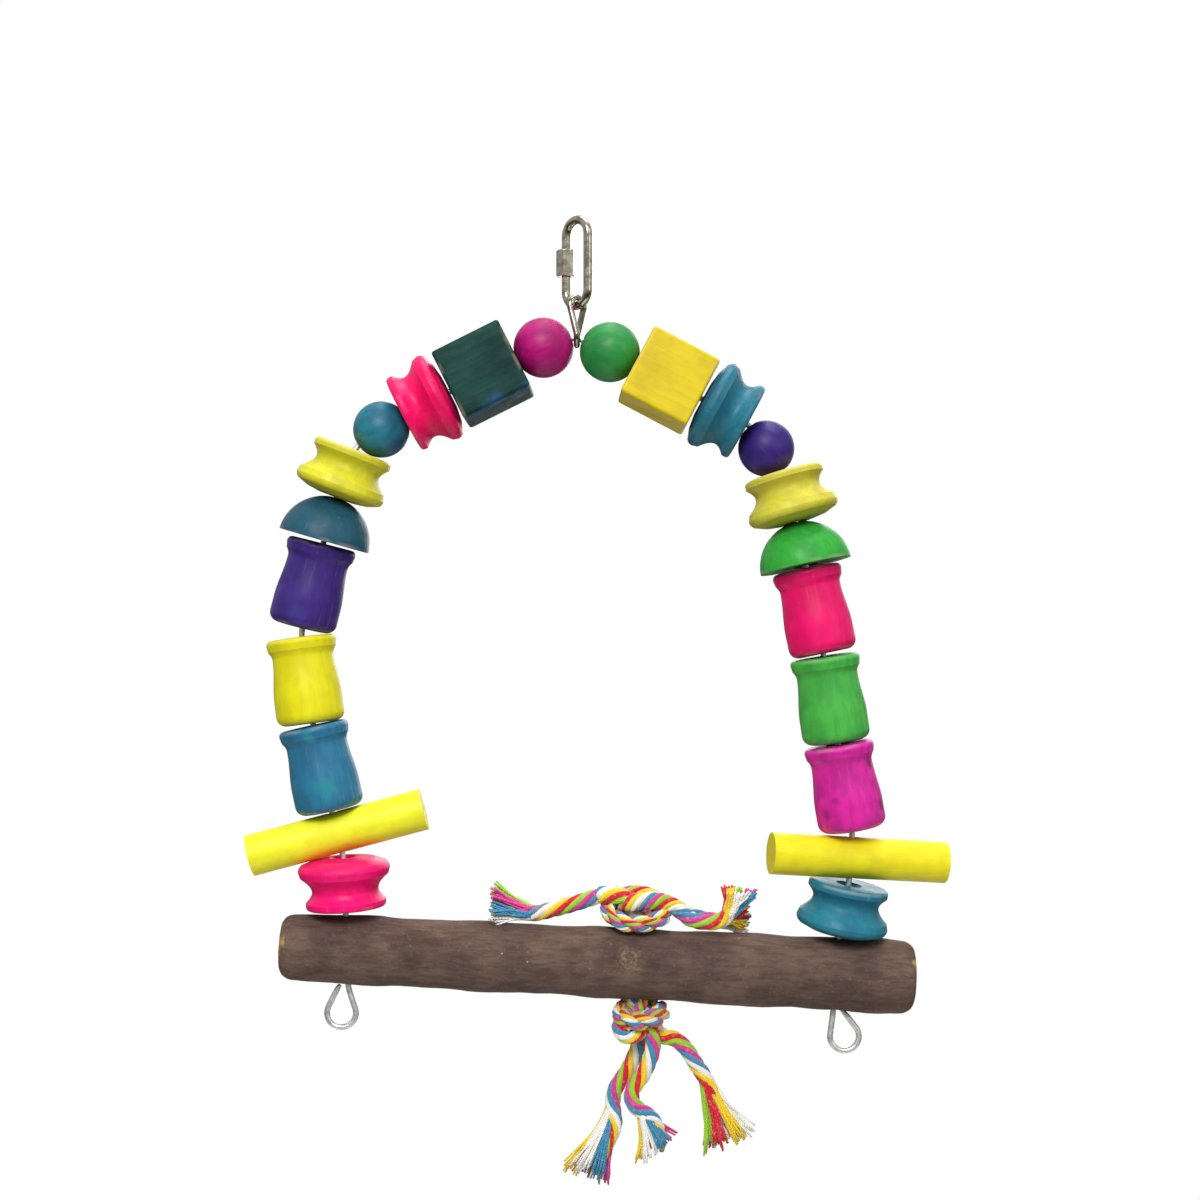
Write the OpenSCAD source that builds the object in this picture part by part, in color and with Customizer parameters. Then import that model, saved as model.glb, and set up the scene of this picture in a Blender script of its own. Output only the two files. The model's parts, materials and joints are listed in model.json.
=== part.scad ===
// Hanging bird swing: a wire arch strung with turned wooden beads over a bark perch.
// Origin at the inner crest of the quick link's top bow, where the swing hangs. +Z up, X along the perch.

/* [Quick link] */
// Diameter of the quick link's rod
hanger_rod_d = 3; // [2.6:0.1:3.4]
// Spacing of the quick link's two rods, centre to centre
hanger_w = 10.5; // [9.5:0.1:12]
// Length of the quick link's straight rods
hanger_straight_l = 18.5; // [17:0.5:24]
// Length of the hexagonal sleeve nut
nut_l = 9; // [7:0.5:9.5]
// Width of the sleeve nut across its flats
nut_w = 6; // [5.2:0.1:6.8]
// Length of the gate gap that the sleeve nut closes
gate_gap = 3.8; // [3:0.1:4]
// Turn of the quick link about the vertical
hanger_turn = -45; // [-60:1:-30]

/* [Chain link] */
// Diameter of the chain link's rod
link_rod_d = 2.1; // [1.6:0.1:2.4]
// Outer length of the chain link
link_l = 18.2; // [16:0.2:24]
// Outer width of the chain link's bows
link_w = 8.6; // [8.4:0.1:11]

/* [Arch wire] */
// Diameter of the arch wire
wire_d = 2.1; // [1.6:0.1:2.4]
// Radius of the small bend in which the chain link sits
seat_bend_r = 4; // [3:0.5:8]
// Radius of a toy loop's round end, to the middle of the wire
loop_r = 4.9; // [4:0.1:7]
// Height of a toy loop from its fold to the middle of its round end
loop_h = 12.5; // [10:0.1:16]

/* [Beads] */
// Diameter of the hole through each bead
bore_d = 4.4; // [4.2:0.1:5]
// Diameter of the countersunk mouth of a hole
mouth_d = 9; // [7:0.1:9.6]
// Diameter of the two balls beside the chain link
ball_d = 20.3; // [18:0.1:24]
// Diameter of the two small balls
small_ball_d = 19; // [16:0.1:22]
// Width of the cubes
cube_w = 24.8; // [20:0.1:30]
// Rounding of the cubes' edges
cube_edge_r = 1; // [0.5:0.1:2]
// Length of a spool bead
spool_l = 17.2; // [15:0.1:22]
// Diameter of a spool's crowned flange
spool_big_d = 31; // [28:0.5:36]
// Diameter of a spool's flat flange
spool_small_d = 27; // [25:0.5:30]
// Diameter of a spool's waist
spool_waist_d = 22.4; // [18:0.1:23.5]
// Diameter of a half ball's flat face
half_ball_d = 31; // [26:0.5:36]
// Height of a half ball
half_ball_h = 15.2; // [13:0.1:15.5]
// Length of a cup bead
cup_l = 29.2; // [24:0.1:36]
// Diameter of a cup's lip
cup_lip_d = 23.6; // [22.6:0.1:27]
// Diameter of a cup's neck
cup_neck_d = 20.6; // [17:0.1:21]
// Diameter of a cup's body
cup_body_d = 23; // [21.5:0.1:26]
// Rounding of a cup's lower edge
cup_corner_r = 3.3; // [2:0.1:5]
// Diameter of the cross dowels
dowel_d = 14; // [11:0.1:18]
// Length of the cross dowels
dowel_l = 60.5; // [50:0.5:70]

/* [Perch] */
// Mean diameter of the branch
perch_d = 23.6; // [20:0.1:28]
// Growth of the branch's diameter from its left end to its right end
perch_taper = 0.9; // [0:0.1:2]
// Length of branch beyond the left wire foot
perch_left_overhang = 21.5; // [16:0.5:40]
// Length of branch beyond the right wire foot
perch_right_overhang = 26; // [16:0.5:40]
// Rounding of the branch's cut ends
perch_end_r = 2.6; // [1.5:0.1:5]
// Place of the rope's hole, from half-way between the wire feet towards the right
rope_hole_x = 16.5; // [5:0.5:25]

/* [Rope] */
// Diameter of the laid rope
rope_d = 7.6; // [6:0.1:9]
// Diameter of one of its three strands
strand_d = 4.8; // [4:0.1:5.4]
// Width of the upper knot along the branch
upper_knot_w = 24; // [20:0.5:30]
// Height of the upper knot
upper_knot_h = 15; // [12:0.5:18]
// Width of the lower knot
lower_knot_w = 18.5; // [16:0.5:24]
// Height of the lower knot
lower_knot_h = 13.5; // [11:0.5:16]

/* [Hidden] */
$fn = 64;

// Small play between metal parts that hang in each other
hang_gap = 0.2;
// Play along the wire between one bead and the next
seat_gap = 0.25;
// Overrun of every cut
over = 1;
// Steps in one quarter of a turned outline's round corner
arc_steps = 6;

// Side of the arch, as a factor on X
LEFT = -1;
RIGHT = 1;

// Beads from the chain link down to the perch. A spool is named after the end that its crown faces.
left_kinds = ["ball", "cube", "spool_up", "small_ball", "spool_down", "half_ball",
    "cup", "cup", "cup", "dowel", "spool_up"];
right_kinds = ["ball", "cube", "spool_up", "small_ball", "spool_down", "half_ball",
    "cup", "cup", "cup", "dowel", "spool_down"];

// Headings of the wire in degrees from straight down, outwards: at the chain link,
// just beyond its small bend, and then at the middle of each bead
left_headings = [98, 91, 68, 63, 63, 58, 20, 16, 16, -9, -12, -15, -3];
right_headings = [82, 72, 65, 62, 62, 35, 15, 12, 12, 8, 12, -4, -11];
// Straight wire on each side of a bead's middle, and at each end of the small bend
bead_straight_l = 5.5;
bend_straight_l = 0.5;
// Least bend, in degrees, for which two flat ends leave room
least_bend = 4;
// Tip of each bead's upper end towards the front, in degrees
left_tips = [0, 0, 0, 0, 0, 0, 0, -2, 0, 0, 1];
right_tips = [0, 0, 0, 0, -4, -4, -3, 0, 0, 0, 3];
// Turn of each bead about its own hole, in degrees
left_turns = [0, -4, 0, 0, 0, 0, 0, 0, 0, 2, 0];
right_turns = [0, 4, 0, 0, 0, 0, 0, 0, 0, 8, 0];
// Distance of the right dowel's hole from the dowel's middle
right_dowel_hole_x = 2.5;
// Lean of each toy loop outwards from the perch's square, in degrees
left_loop_lean = 0;
right_loop_lean = 18;
// Depth of a loop's fold inside the perch's hole, and the gap between the wire and its free end
loop_tuck = 2.8;
loop_gap = 0.2;

// Radius of the flat rim round a spool's crown
crown_flat_r = 6;
// Height of a spool's crown above its widest rim
crown_h = 3.2;
// Rounding of a spool's crowned rim and of its flat flange, and height of the flat flange's rim
crown_rim_r = 2.6;
// Angle at which the rim runs into the crown, how far the rim lies below the crown's edge
// and how far the crown has fallen half-way out
crown_slope = 55;
rim_drop_share = 0.4;
dome_share = 0.22;
flange_rim_r = 1.2;
flange_h = 2.4;
// Height of the waist's middle above the flat flange's face
waist_z = 6;
// Rounding of a cup's lip, and height of its neck below the lip's face
lip_r = 1.7;
cup_neck_z = 6.5;
// Share of a cup's length over which it tapers, and the angle at which its lip's rounding starts
taper_share = 0.75;
lip_start = -20;
// Clearance of the wire in the perch's two holes, and of the rope in its own
wire_play = 1;
rope_play = 0.8;
// Countersink at the lower end of the wire's holes in the perch
foot_sink_d = 9;
foot_sink_h = 3;
// Unevenness of the branch's radius, and the number of its bumps along the branch
perch_wave = 0.22;
perch_bumps = 5;
// Angle at which the bumps start, and how much and how often they fade
wave_start = 40;
wave_fade_share = 0.4;
fade_bumps = 2.3;
// Radius and height of the old knot in the branch's bark, its place along the branch
// and its turn from the branch's front towards its top
scar_r = 7;
scar_h = 0.7;
scar_x = 13;
scar_turn = 20;
// Play of the sleeve nut round its rod, its overlap on the upper stub and its chamfer
nut_play = 0.15;
nut_lap = 0.8;
nut_chamfer = 0.5;
// Height of the sleeve nut's top below the upper bow's middle
nut_top_z = 4.45;
// Swelling of the ball that joins two lengths of the chain link's rod over the rod
joint_share = 1.03;
// Sides of the wire's shell, and the most that it turns between one place and the next, in degrees
wire_sides = 12;
bend_step = 10;

// Rope routes from the perch's middle, as round numbers chosen by hand
top_left_route = [[10, -1, 23], [3.5, -1.5, 22.5], [-5, -2, 20], [-12.5, -2, 18], [-19.5, -1.5, 16.5],
    [-27, -1, 18], [-33, 0, 21]];
top_right_route = [[24, -4, 21], [29, -5, 18.5], [34.5, -6.5, 15], [42, -7, 14.5], [46, -7, 17],
    [48, -7, 20.5], [50, -6.5, 24]];
top_back_route = [[24, 3, 20], [30, 4.5, 17], [38, 6.5, 13.5], [46.5, 6, 13], [54.5, 4, 15]];
bottom_left_route = [[17, 2, -20.5], [16.5, 2.5, -28], [13, 3, -36.5], [8.5, 2.5, -43.5], [7.5, 1.5, -49],
    [8.5, 0, -55.5], [6, 0, -63], [2.5, 0, -71]];
bottom_middle_route = [[20, -3, -20.5], [21, -3, -28.5], [18, -2.5, -37], [14, -3, -43], [15, -3.5, -48],
    [21, -2.5, -52.5], [24, -1.5, -58], [24, -1, -64]];
bottom_right_route = [[24, 0.5, -20.5], [29, 0, -26.5], [33.5, 0, -32], [39, 0, -40], [42, 0, -47],
    [44.5, 0, -54], [46.5, 0, -60]];

// Quick link and chain link
hanger_bow_r = hanger_w / 2;
hanger_top_z = hanger_rod_d / 2 - hanger_bow_r;
hanger_low_z = hanger_top_z - hanger_straight_l;
hanger_seat_z = hanger_low_z - hanger_bow_r + hanger_rod_d / 2;
link_bow_r = (link_w - link_rod_d) / 2;
link_crest_z = hanger_seat_z + hang_gap + link_rod_d / 2;
link_foot_z = link_crest_z - link_l + link_rod_d;
apex_z = link_foot_z + link_rod_d / 2 + hang_gap + wire_d / 2;
nut_z = hanger_top_z - nut_top_z - nut_l;
stub_z = nut_z + nut_l - nut_lap;

// Sizes of the beads that follow from the driving ones
mouth_r = mouth_d / 2;
bead_count = len(left_kinds);

// Length of a bead along the wire
function bead_l(kind) =
    kind == "ball" ? ball_d :
    kind == "small_ball" ? small_ball_d :
    kind == "cube" ? cube_w :
    kind == "half_ball" ? half_ball_h :
    kind == "cup" ? cup_l :
    kind == "dowel" ? dowel_d : spool_l;
// Radius of a round end, or zero for a flat one
function upper_round_r(kind) =
    kind == "ball" ? ball_d / 2 :
    kind == "small_ball" ? small_ball_d / 2 :
    kind == "half_ball" ? half_ball_d / 2 : 0;
function lower_round_r(kind) = kind == "half_ball" ? 0 : upper_round_r(kind);
// Radius at which a tipped end meets its neighbour
function upper_face_r(kind) =
    upper_round_r(kind) > 0 ? 0 :
    kind == "cube" ? cube_w / 2 :
    kind == "cup" ? cup_lip_d / 2 - lip_r / 2 :
    kind == "dowel" ? dowel_l / 2 :
    kind == "spool_up" ? crown_flat_r : spool_small_d / 2 - flange_rim_r / 2;
function lower_face_r(kind) =
    lower_round_r(kind) > 0 ? 0 :
    kind == "cube" ? cube_w / 2 :
    kind == "half_ball" ? half_ball_d / 2 :
    kind == "cup" ? cup_body_d / 2 - cup_corner_r :
    kind == "dowel" ? dowel_l / 2 :
    kind == "spool_down" ? crown_flat_r : spool_small_d / 2 - flange_rim_r / 2;
// Length of wire between the middles of two beads that meet with the wire bent between them.
// A round end sinks into the mouth that it meets, by less the farther the bend moves it off its middle.
function pair_l(upper, lower, bend) =
    let (e = bead_straight_l,
        turn = bend * PI / 180,
        r = max(lower_round_r(upper), upper_round_r(lower)),
        upper_half = bead_l(upper) / 2,
        lower_half = bead_l(lower) / 2,
        flat_half = lower_round_r(upper) > 0 ? lower_half : upper_half,
        other_half = upper_half + lower_half - flat_half,
        aside = (bend == 0 ? 0 : (flat_half + other_half - 2 * e) * (1 - cos(bend)) / turn)
            + (e + r - other_half) * sin(bend),
        reach = r > 0 ? sqrt(r * r - pow(max(0, mouth_r - aside), 2)) - (r - other_half) * cos(bend)
            : other_half * cos(bend)
                + min(lower_face_r(upper), upper_face_r(lower)) * sin(max(bend, least_bend)),
        along = flat_half + seat_gap + reach - e - e * cos(bend))
    2 * e + (bend == 0 ? along : along * turn / sin(bend));
function tipped(a, b) = norm([a, b]);

// Lengths of the wire from the chain link to the middle of each bead, one stretch after the other
function stretches(kinds, headings, tips) = [
    for (i = [0 : bead_count])
        i == 0 ? seat_bend_r * abs(headings[1] - headings[0]) * PI / 180 :
        i == 1 ? link_rod_d / 2 + hang_gap + bead_l(kinds[0]) / 2 :
        pair_l(kinds[i - 2], kinds[i - 1], tipped(headings[i + 1] - headings[i], tips[i - 1] - tips[i - 2]))
];
// Step made by an arc of length s whose heading goes from a to b
function arc_step(s, a, b) =
    let (half = (b - a) / 2, chord = half == 0 ? s : s * sin(half) / (half * PI / 180))
    chord * [sin((a + b) / 2), -cos((a + b) / 2)];
// Step made by a stretch of length s: straight over e, then the bend, then straight over f
function stretch_step(s, a, b, e, f) =
    arc_step(e, a, a) + arc_step(s - e - f, a, b) + arc_step(f, b, b);
// Straight lengths at the two ends of stretch number i
function start_l(i) = i < 2 ? bend_straight_l * i : bead_straight_l;
function end_l(i) = i < 1 ? 0 : bead_straight_l;
// Points between the stretches, seen with the side's outward direction as X
function knots(lengths, headings) = [
    for (i = 0, p = [0, apex_z]; i <= len(lengths);
        p = p + (i < len(lengths)
            ? stretch_step(lengths[i], headings[i], headings[i + 1], start_l(i), end_l(i)) : [0, 0]),
        i = i + 1) p
];
left_lengths = stretches(left_kinds, left_headings, left_tips);
right_lengths = stretches(right_kinds, right_headings, right_tips);
left_knots = knots(left_lengths, left_headings);
right_knots = knots(right_lengths, right_headings);

// Tilt of the perch, downwards to the right, from the heights of the lowest beads
left_end = left_knots[bead_count + 1];
right_end = right_knots[bead_count + 1];
foot_turn = atan2(left_end.y - right_end.y, left_end.x + right_end.x);
perch_max_r = (perch_d + perch_taper) / 2 + perch_wave;
// Length of wire from the lowest bead's middle to the perch's middle line
function foot_l(kind, bend) =
    bead_l(kind) / 2 + seat_gap + lower_face_r(kind) * tan(abs(bend)) + perch_max_r;
left_foot_l = foot_l(left_kinds[bead_count - 1], foot_turn - left_headings[bead_count + 1]);
right_foot_l = foot_l(right_kinds[bead_count - 1], -foot_turn - right_headings[bead_count + 1]);
function foot_step(s, heading, turn) = stretch_step(s, heading, turn, bead_straight_l, bead_straight_l);
left_foot = left_end + foot_step(left_foot_l, left_headings[bead_count + 1], foot_turn);
right_foot = right_end + foot_step(right_foot_l, right_headings[bead_count + 1], -foot_turn);
perch_tilt = atan2(left_foot.y - right_foot.y, left_foot.x + right_foot.x);
foot_span = norm([left_foot.x + right_foot.x, left_foot.y - right_foot.y]);
perch_l = foot_span + perch_left_overhang + perch_right_overhang;
perch_shift = (perch_right_overhang - perch_left_overhang) / 2;
perch_mid = [(right_foot.x - left_foot.x) / 2, (left_foot.y + right_foot.y) / 2];

// Turn of the wire within one half of a bead, from the stretch of length s that turns by turn in all
function inner_turn(turn, half, s, far_l) =
    turn * min(1, max(0, half - bead_straight_l) / (s - bead_straight_l - far_l));
// Place and heading of each bead: the chord between the points where the wire enters and leaves it
function bead_pose(i, kinds, lengths, headings, points, feet) =
    let (half = bead_l(kinds[i]) / 2,
        h = headings[i + 2],
        last = i == bead_count - 1,
        bend_l = half - bead_straight_l,
        before = inner_turn(h - headings[i + 1], half, lengths[i + 1], start_l(i + 1)),
        after = last ? inner_turn(feet[1] - h, half, feet[0], bead_straight_l)
            : inner_turn(headings[i + 3] - h, half, lengths[i + 2], bead_straight_l),
        enter = points[i + 2] - arc_step(bead_straight_l, h, h) - arc_step(bend_l, h - before, h),
        leave = points[i + 2] + arc_step(bead_straight_l, h, h) + arc_step(bend_l, h, h + after),
        middle = ((enter + leave) / 2 + points[i + 2]) / 2)
    [middle.x, middle.y, atan2(leave.x - enter.x, enter.y - leave.y)];
left_poses = [
    for (i = [0 : bead_count - 1])
        bead_pose(i, left_kinds, left_lengths, left_headings, left_knots, [left_foot_l, foot_turn])
];
right_poses = [
    for (i = [0 : bead_count - 1])
        bead_pose(i, right_kinds, right_lengths, right_headings, right_knots, [right_foot_l, -foot_turn])
];

// Radius of the branch at a place along it, measured from half-way between the wire feet
function perch_r_at(x) =
    let (turn = 360 * (x - perch_shift) / perch_l)
    perch_d / 2 + perch_taper * turn / 360
        + perch_wave * sin(perch_bumps * turn + wave_start)
            * (1 - wave_fade_share * (1 - sin(fade_bumps * turn)));

// Points of a round corner in a turned outline
function corner(c, r, from, to) = [
    for (k = [0 : arc_steps])
        let (turn = from + (to - from) * k / arc_steps) c + r * [cos(turn), sin(turn)]
];

// Straight rod between two points
module rod(from, to, d) {
    v = to - from;
    translate(from)
        rotate([0, acos(v.z / norm(v)), atan2(v.y, v.x)])
            cylinder(d = d, h = norm(v));
}

// Half ring in the plane of X and Z, open downwards, its middle at the origin
module bow(r, d) {
    rotate([90, 0, 0])
        rotate_extrude(angle = 180)
            translate([r, 0])
                circle(d = d);
}

module quick_link_body() {
    color("silver")
        rotate([0, 0, hanger_turn]) {
            translate([0, 0, hanger_top_z])
                bow(hanger_bow_r, hanger_rod_d);
            translate([0, 0, hanger_low_z])
                rotate([180, 0, 0])
                    bow(hanger_bow_r, hanger_rod_d);
            translate([hanger_bow_r, 0, hanger_low_z])
                cylinder(d = hanger_rod_d, h = hanger_straight_l);
            translate([-hanger_bow_r, 0, stub_z])
                cylinder(d = hanger_rod_d, h = hanger_top_z - stub_z);
            translate([-hanger_bow_r, 0, hanger_low_z])
                cylinder(d = hanger_rod_d, h = stub_z - gate_gap - hanger_low_z);
        }
}

// Hexagonal sleeve with chamfered corners and a plain bore
module quick_link_nut() {
    corner_r = nut_w / 2 / cos(30);
    color("gainsboro")
        rotate([0, 0, hanger_turn])
            translate([-hanger_bow_r, 0, nut_z])
                difference() {
                    intersection() {
                        cylinder(r = corner_r, h = nut_l, $fn = 6);
                        rotate_extrude()
                            polygon([[0, 0], [corner_r - nut_chamfer, 0],
                                [corner_r, nut_chamfer], [corner_r, nut_l - nut_chamfer],
                                [corner_r - nut_chamfer, nut_l], [0, nut_l]]);
                    }
                    translate([0, 0, -over])
                        cylinder(d = hanger_rod_d + 2 * nut_play, h = nut_l + 2 * over);
                }
}

// Short twisted link: its upper bow crosses the quick link, its lower bow crosses the arch wire
module chain_link() {
    upper_z = link_crest_z - link_bow_r;
    lower_z = link_foot_z + link_bow_r;
    upper_turn = hanger_turn + 90;
    color("darkgray") {
        translate([0, 0, upper_z])
            rotate([0, 0, upper_turn])
                bow(link_bow_r, link_rod_d);
        translate([0, 0, lower_z])
            rotate([180, 0, 90])
                bow(link_bow_r, link_rod_d);
        for (side = [-1, 1]) {
            upper = [side * link_bow_r * cos(upper_turn), side * link_bow_r * sin(upper_turn), upper_z];
            lower = [0, side * link_bow_r, lower_z];
            rod(upper, lower, link_rod_d);
            for (p = [upper, lower])
                translate(p)
                    sphere(d = link_rod_d * joint_share);
        }
    }
}

// Places along a bend from p over the length s, its heading going from a to b: place and heading each
function bend_places(p, s, a, b) =
    let (n = max(1, ceil(abs(b - a) / bend_step)), turn = (b - a) / n)
    [for (k = [0 : n]) [p + arc_step(s * k / n, a, a + turn * k), a + turn * k]];
// Places along a toy loop that hangs from the fold p of a foot that comes down at the heading a.
// Its free end stops beside the wire.
function loop_places(p, a, lean) =
    let (spread = asin(loop_r / loop_h),
        leg = loop_h * cos(spread),
        turn = 180 + 2 * spread,
        down = a + lean - spread,
        free_l = leg - (wire_d + loop_gap) / 2 / sin(spread),
        round = bend_places(p + arc_step(leg, down, down), loop_r * turn * PI / 180, down, down + turn),
        last = round[len(round) - 1])
    concat([[p, (a + down) / 2]], round, [[last[0] + arc_step(free_l, last[1], last[1]), last[1]]]);
// Places along half of the wire from the small bend down to its free end, outwards as X and upwards as Y
function side_places(lengths, headings, points, foot, foot_l, turn, lean) =
    let (last = len(headings) - 1,
        drop = perch_d / 2 - loop_tuck,
        e = bead_straight_l)
    concat(
        [for (i = [1 : last - 1])
            each bend_places(points[i] + arc_step(start_l(i), headings[i], headings[i]),
                lengths[i] - start_l(i) - end_l(i), headings[i], headings[i + 1])],
        bend_places(points[last] + arc_step(e, headings[last], headings[last]),
            foot_l - 2 * e, headings[last], turn),
        loop_places(foot + arc_step(drop, turn, turn), turn, lean));
left_places = side_places(left_lengths, left_headings, left_knots, left_foot,
    left_foot_l, foot_turn, left_loop_lean);
right_places = side_places(right_lengths, right_headings, right_knots, right_foot,
    right_foot_l, -foot_turn, right_loop_lean);
seat_places = bend_places([-left_knots[1].x, left_knots[1].y], left_lengths[0] + right_lengths[0],
    180 - left_headings[1], right_headings[1]);
// The whole wire from its left free end to its right one, each place with its square direction
wire_places = concat(
    [for (k = [len(left_places) - 1 : -1 : 0])
        let (q = left_places[k]) [[-q[0].x, q[0].y], [-cos(q[1]), sin(q[1])]]],
    [for (k = [1 : len(seat_places) - 2])
        let (q = seat_places[k]) [q[0], [cos(q[1]), sin(q[1])]]],
    [for (q = right_places) [q[0], [cos(q[1]), sin(q[1])]]]);

// One wire swept along its places as a smooth shell
module arch_wire() {
    n = len(wire_places);
    step = 360 / wire_sides;
    rings = [for (q = wire_places, k = [0 : wire_sides - 1])
        wire_d / 2 * [cos(step * k) * q[1].x, sin(step * k), cos(step * k) * q[1].y] + [q[0].x, 0, q[0].y]];
    color("lightgray")
        polyhedron(rings, concat(
            [[for (k = [wire_sides - 1 : -1 : 0]) k]],
            [for (i = [0 : n - 2], k = [0 : wire_sides - 1])
                let (m = (k + 1) % wire_sides, a = i * wire_sides)
                [a + m, a + wire_sides + m, a + wire_sides + k, a + k]],
            [[for (k = [0 : wire_sides - 1]) (n - 1) * wire_sides + k]]));
}

// Bark branch, drilled square for the two wire feet and the rope
module perch() {
    stations = 14;
    left = perch_shift - perch_l / 2;
    right = perch_shift + perch_l / 2;
    straight_l = perch_l - 2 * perch_end_r;
    left_r = perch_r_at(left + perch_end_r) - perch_end_r;
    right_r = perch_r_at(right - perch_end_r) - perch_end_r;
    color("#4a3b34")
        translate([perch_mid.x, 0, perch_mid.y])
            rotate([0, perch_tilt, 0])
                difference() {
                    union() {
                        rotate([0, 90, 0])
                            rotate_extrude()
                                polygon(concat(
                                    [[0, left]],
                                    corner([left_r, left + perch_end_r], perch_end_r, -90, 0),
                                    [for (k = [1 : stations - 1])
                                        let (x = left + perch_end_r + straight_l * k / stations)
                                        [perch_r_at(x), x]],
                                    corner([right_r, right - perch_end_r], perch_end_r, 0, 90),
                                    [[0, right]]));
                        rotate([-scar_turn, 0, 0])
                            translate([scar_x, scar_r - scar_h - perch_r_at(scar_x), 0])
                                sphere(r = scar_r);
                    }
                    for (x = [-foot_span / 2, foot_span / 2]) {
                        translate([x, 0, -perch_d])
                            cylinder(d = wire_d + 2 * wire_play, h = 2 * perch_d);
                        translate([x, 0, -perch_max_r])
                            cylinder(d1 = foot_sink_d, d2 = wire_d + 2 * wire_play, h = foot_sink_h);
                    }
                    translate([rope_hole_x, 0, -perch_d])
                        cylinder(d = rope_d + 2 * rope_play, h = 2 * perch_d);
                }
}

// Hole through a bead along Z, countersunk at the ends that are asked for
module bead_hole(l, lower = true, upper = true) {
    mouth_h = (mouth_d - bore_d) / 2;
    translate([0, 0, -l / 2 - over])
        cylinder(d = bore_d, h = l + 2 * over);
    for (end = concat(lower ? [-1] : [], upper ? [1] : []))
        translate([0, 0, end * l / 2])
            rotate([end > 0 ? 0 : 180, 0, 0])
                translate([0, 0, -mouth_h]) {
                    cylinder(d1 = bore_d, d2 = mouth_d, h = mouth_h);
                    translate([0, 0, mouth_h])
                        cylinder(d = mouth_d, h = over);
                }
}

module ball(d) {
    difference() {
        sphere(d = d);
        bead_hole(d, false, false);
    }
}

// Cube with its four long edges and its eight end edges eased
module cube_bead() {
    flat = cube_w - 2 * cube_edge_r;
    difference() {
        union() {
            for (turn = [[0, 0, 0], [90, 0, 0], [0, 90, 0]])
                rotate(turn)
                    linear_extrude(height = cube_w, center = true)
                        square(flat, center = true);
            for (turn = [[0, 0, 0], [90, 0, 0], [0, 90, 0]], x = [-1, 1], y = [-1, 1])
                rotate(turn)
                    translate([x * flat / 2, y * flat / 2, -flat / 2])
                        cylinder(r = cube_edge_r, h = flat);
            for (x = [-1, 1], y = [-1, 1], z = [-1, 1])
                translate([x, y, z] * flat / 2)
                    sphere(r = cube_edge_r);
        }
        bead_hole(cube_w);
    }
}

// Grooved spool: a flat flange below, a waist and a wider crowned flange above
module spool() {
    small_r = spool_small_d / 2;
    big_r = spool_big_d / 2;
    waist_r = spool_waist_d / 2;
    crown_z = spool_l - crown_h;
    steps = 3 * arc_steps;
    top_z = crown_z - crown_rim_r;
    difference() {
        translate([0, 0, -spool_l / 2])
            rotate_extrude()
                polygon(concat(
                    [[0, 0]],
                    corner([small_r - flange_rim_r, flange_rim_r], flange_rim_r, -90, 0),
                    [for (k = [0 : steps - 1])
                        let (z = flange_h + (top_z - flange_h) * k / steps,
                            t = z < waist_z ? (waist_z - z) / (waist_z - flange_h)
                                : (z - waist_z) / (top_z - waist_z))
                        [waist_r + ((z < waist_z ? small_r : big_r) - waist_r) * (1 - cos(90 * t)), z]],
                    corner([big_r - crown_rim_r, crown_z - crown_rim_r * rim_drop_share],
                        crown_rim_r, 0, crown_slope),
                    [[(big_r + crown_flat_r) / 2, spool_l - crown_h * dome_share],
                        [crown_flat_r, spool_l], [0, spool_l]]));
        bead_hole(spool_l);
    }
}

module half_ball() {
    r = half_ball_d / 2;
    difference() {
        intersection() {
            translate([0, 0, half_ball_h / 2 - r])
                sphere(r = r);
            translate([0, 0, -half_ball_h / 2])
                cylinder(r = r + over, h = half_ball_h + over);
        }
        bead_hole(half_ball_h, true, false);
    }
}

// Cup-shaped bead: rounded lip above, drawn-in neck, body that widens to a rounded lower edge
module cup() {
    lip = cup_lip_d / 2;
    neck = cup_neck_d / 2;
    body = cup_body_d / 2;
    neck_z = cup_l - cup_neck_z;
    steps = 3 * arc_steps;
    difference() {
        translate([0, 0, -cup_l / 2])
            rotate_extrude()
                polygon(concat(
                    [[0, 0]],
                    corner([body - cup_corner_r, cup_corner_r], cup_corner_r, -90, 0),
                    [for (k = [1 : steps - 1])
                        let (t = k / steps) [body + (neck - body) * (1 - cos(180 * t)) / 2,
                            cup_corner_r + (neck_z - cup_corner_r) * (1 - taper_share * (1 - t))]],
                    [for (k = [0 : arc_steps - 1])
                        let (t = k / arc_steps) [neck + (lip - neck) * (1 - cos(90 * t)),
                            neck_z + (cup_neck_z - 2 * lip_r) * t]],
                    corner([lip - lip_r, cup_l - lip_r], lip_r, lip_start, 90),
                    [[0, cup_l]]));
        bead_hole(cup_l);
    }
}

// Plain dowel strung crosswise, its hole at a distance from its middle
module dowel(hole_x) {
    difference() {
        translate([-hole_x, 0, 0])
            rotate([0, 90, 0])
                cylinder(d = dowel_d, h = dowel_l, center = true);
        bead_hole(dowel_d, false, false);
    }
}

module bead(kind, hole_x) {
    if (kind == "ball") ball(ball_d);
    if (kind == "small_ball") ball(small_ball_d);
    if (kind == "cube") cube_bead();
    if (kind == "spool_up") spool();
    if (kind == "spool_down") mirror([0, 0, 1]) spool();
    if (kind == "half_ball") half_ball();
    if (kind == "cup") cup();
    if (kind == "dowel") dowel(hole_x);
}

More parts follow.
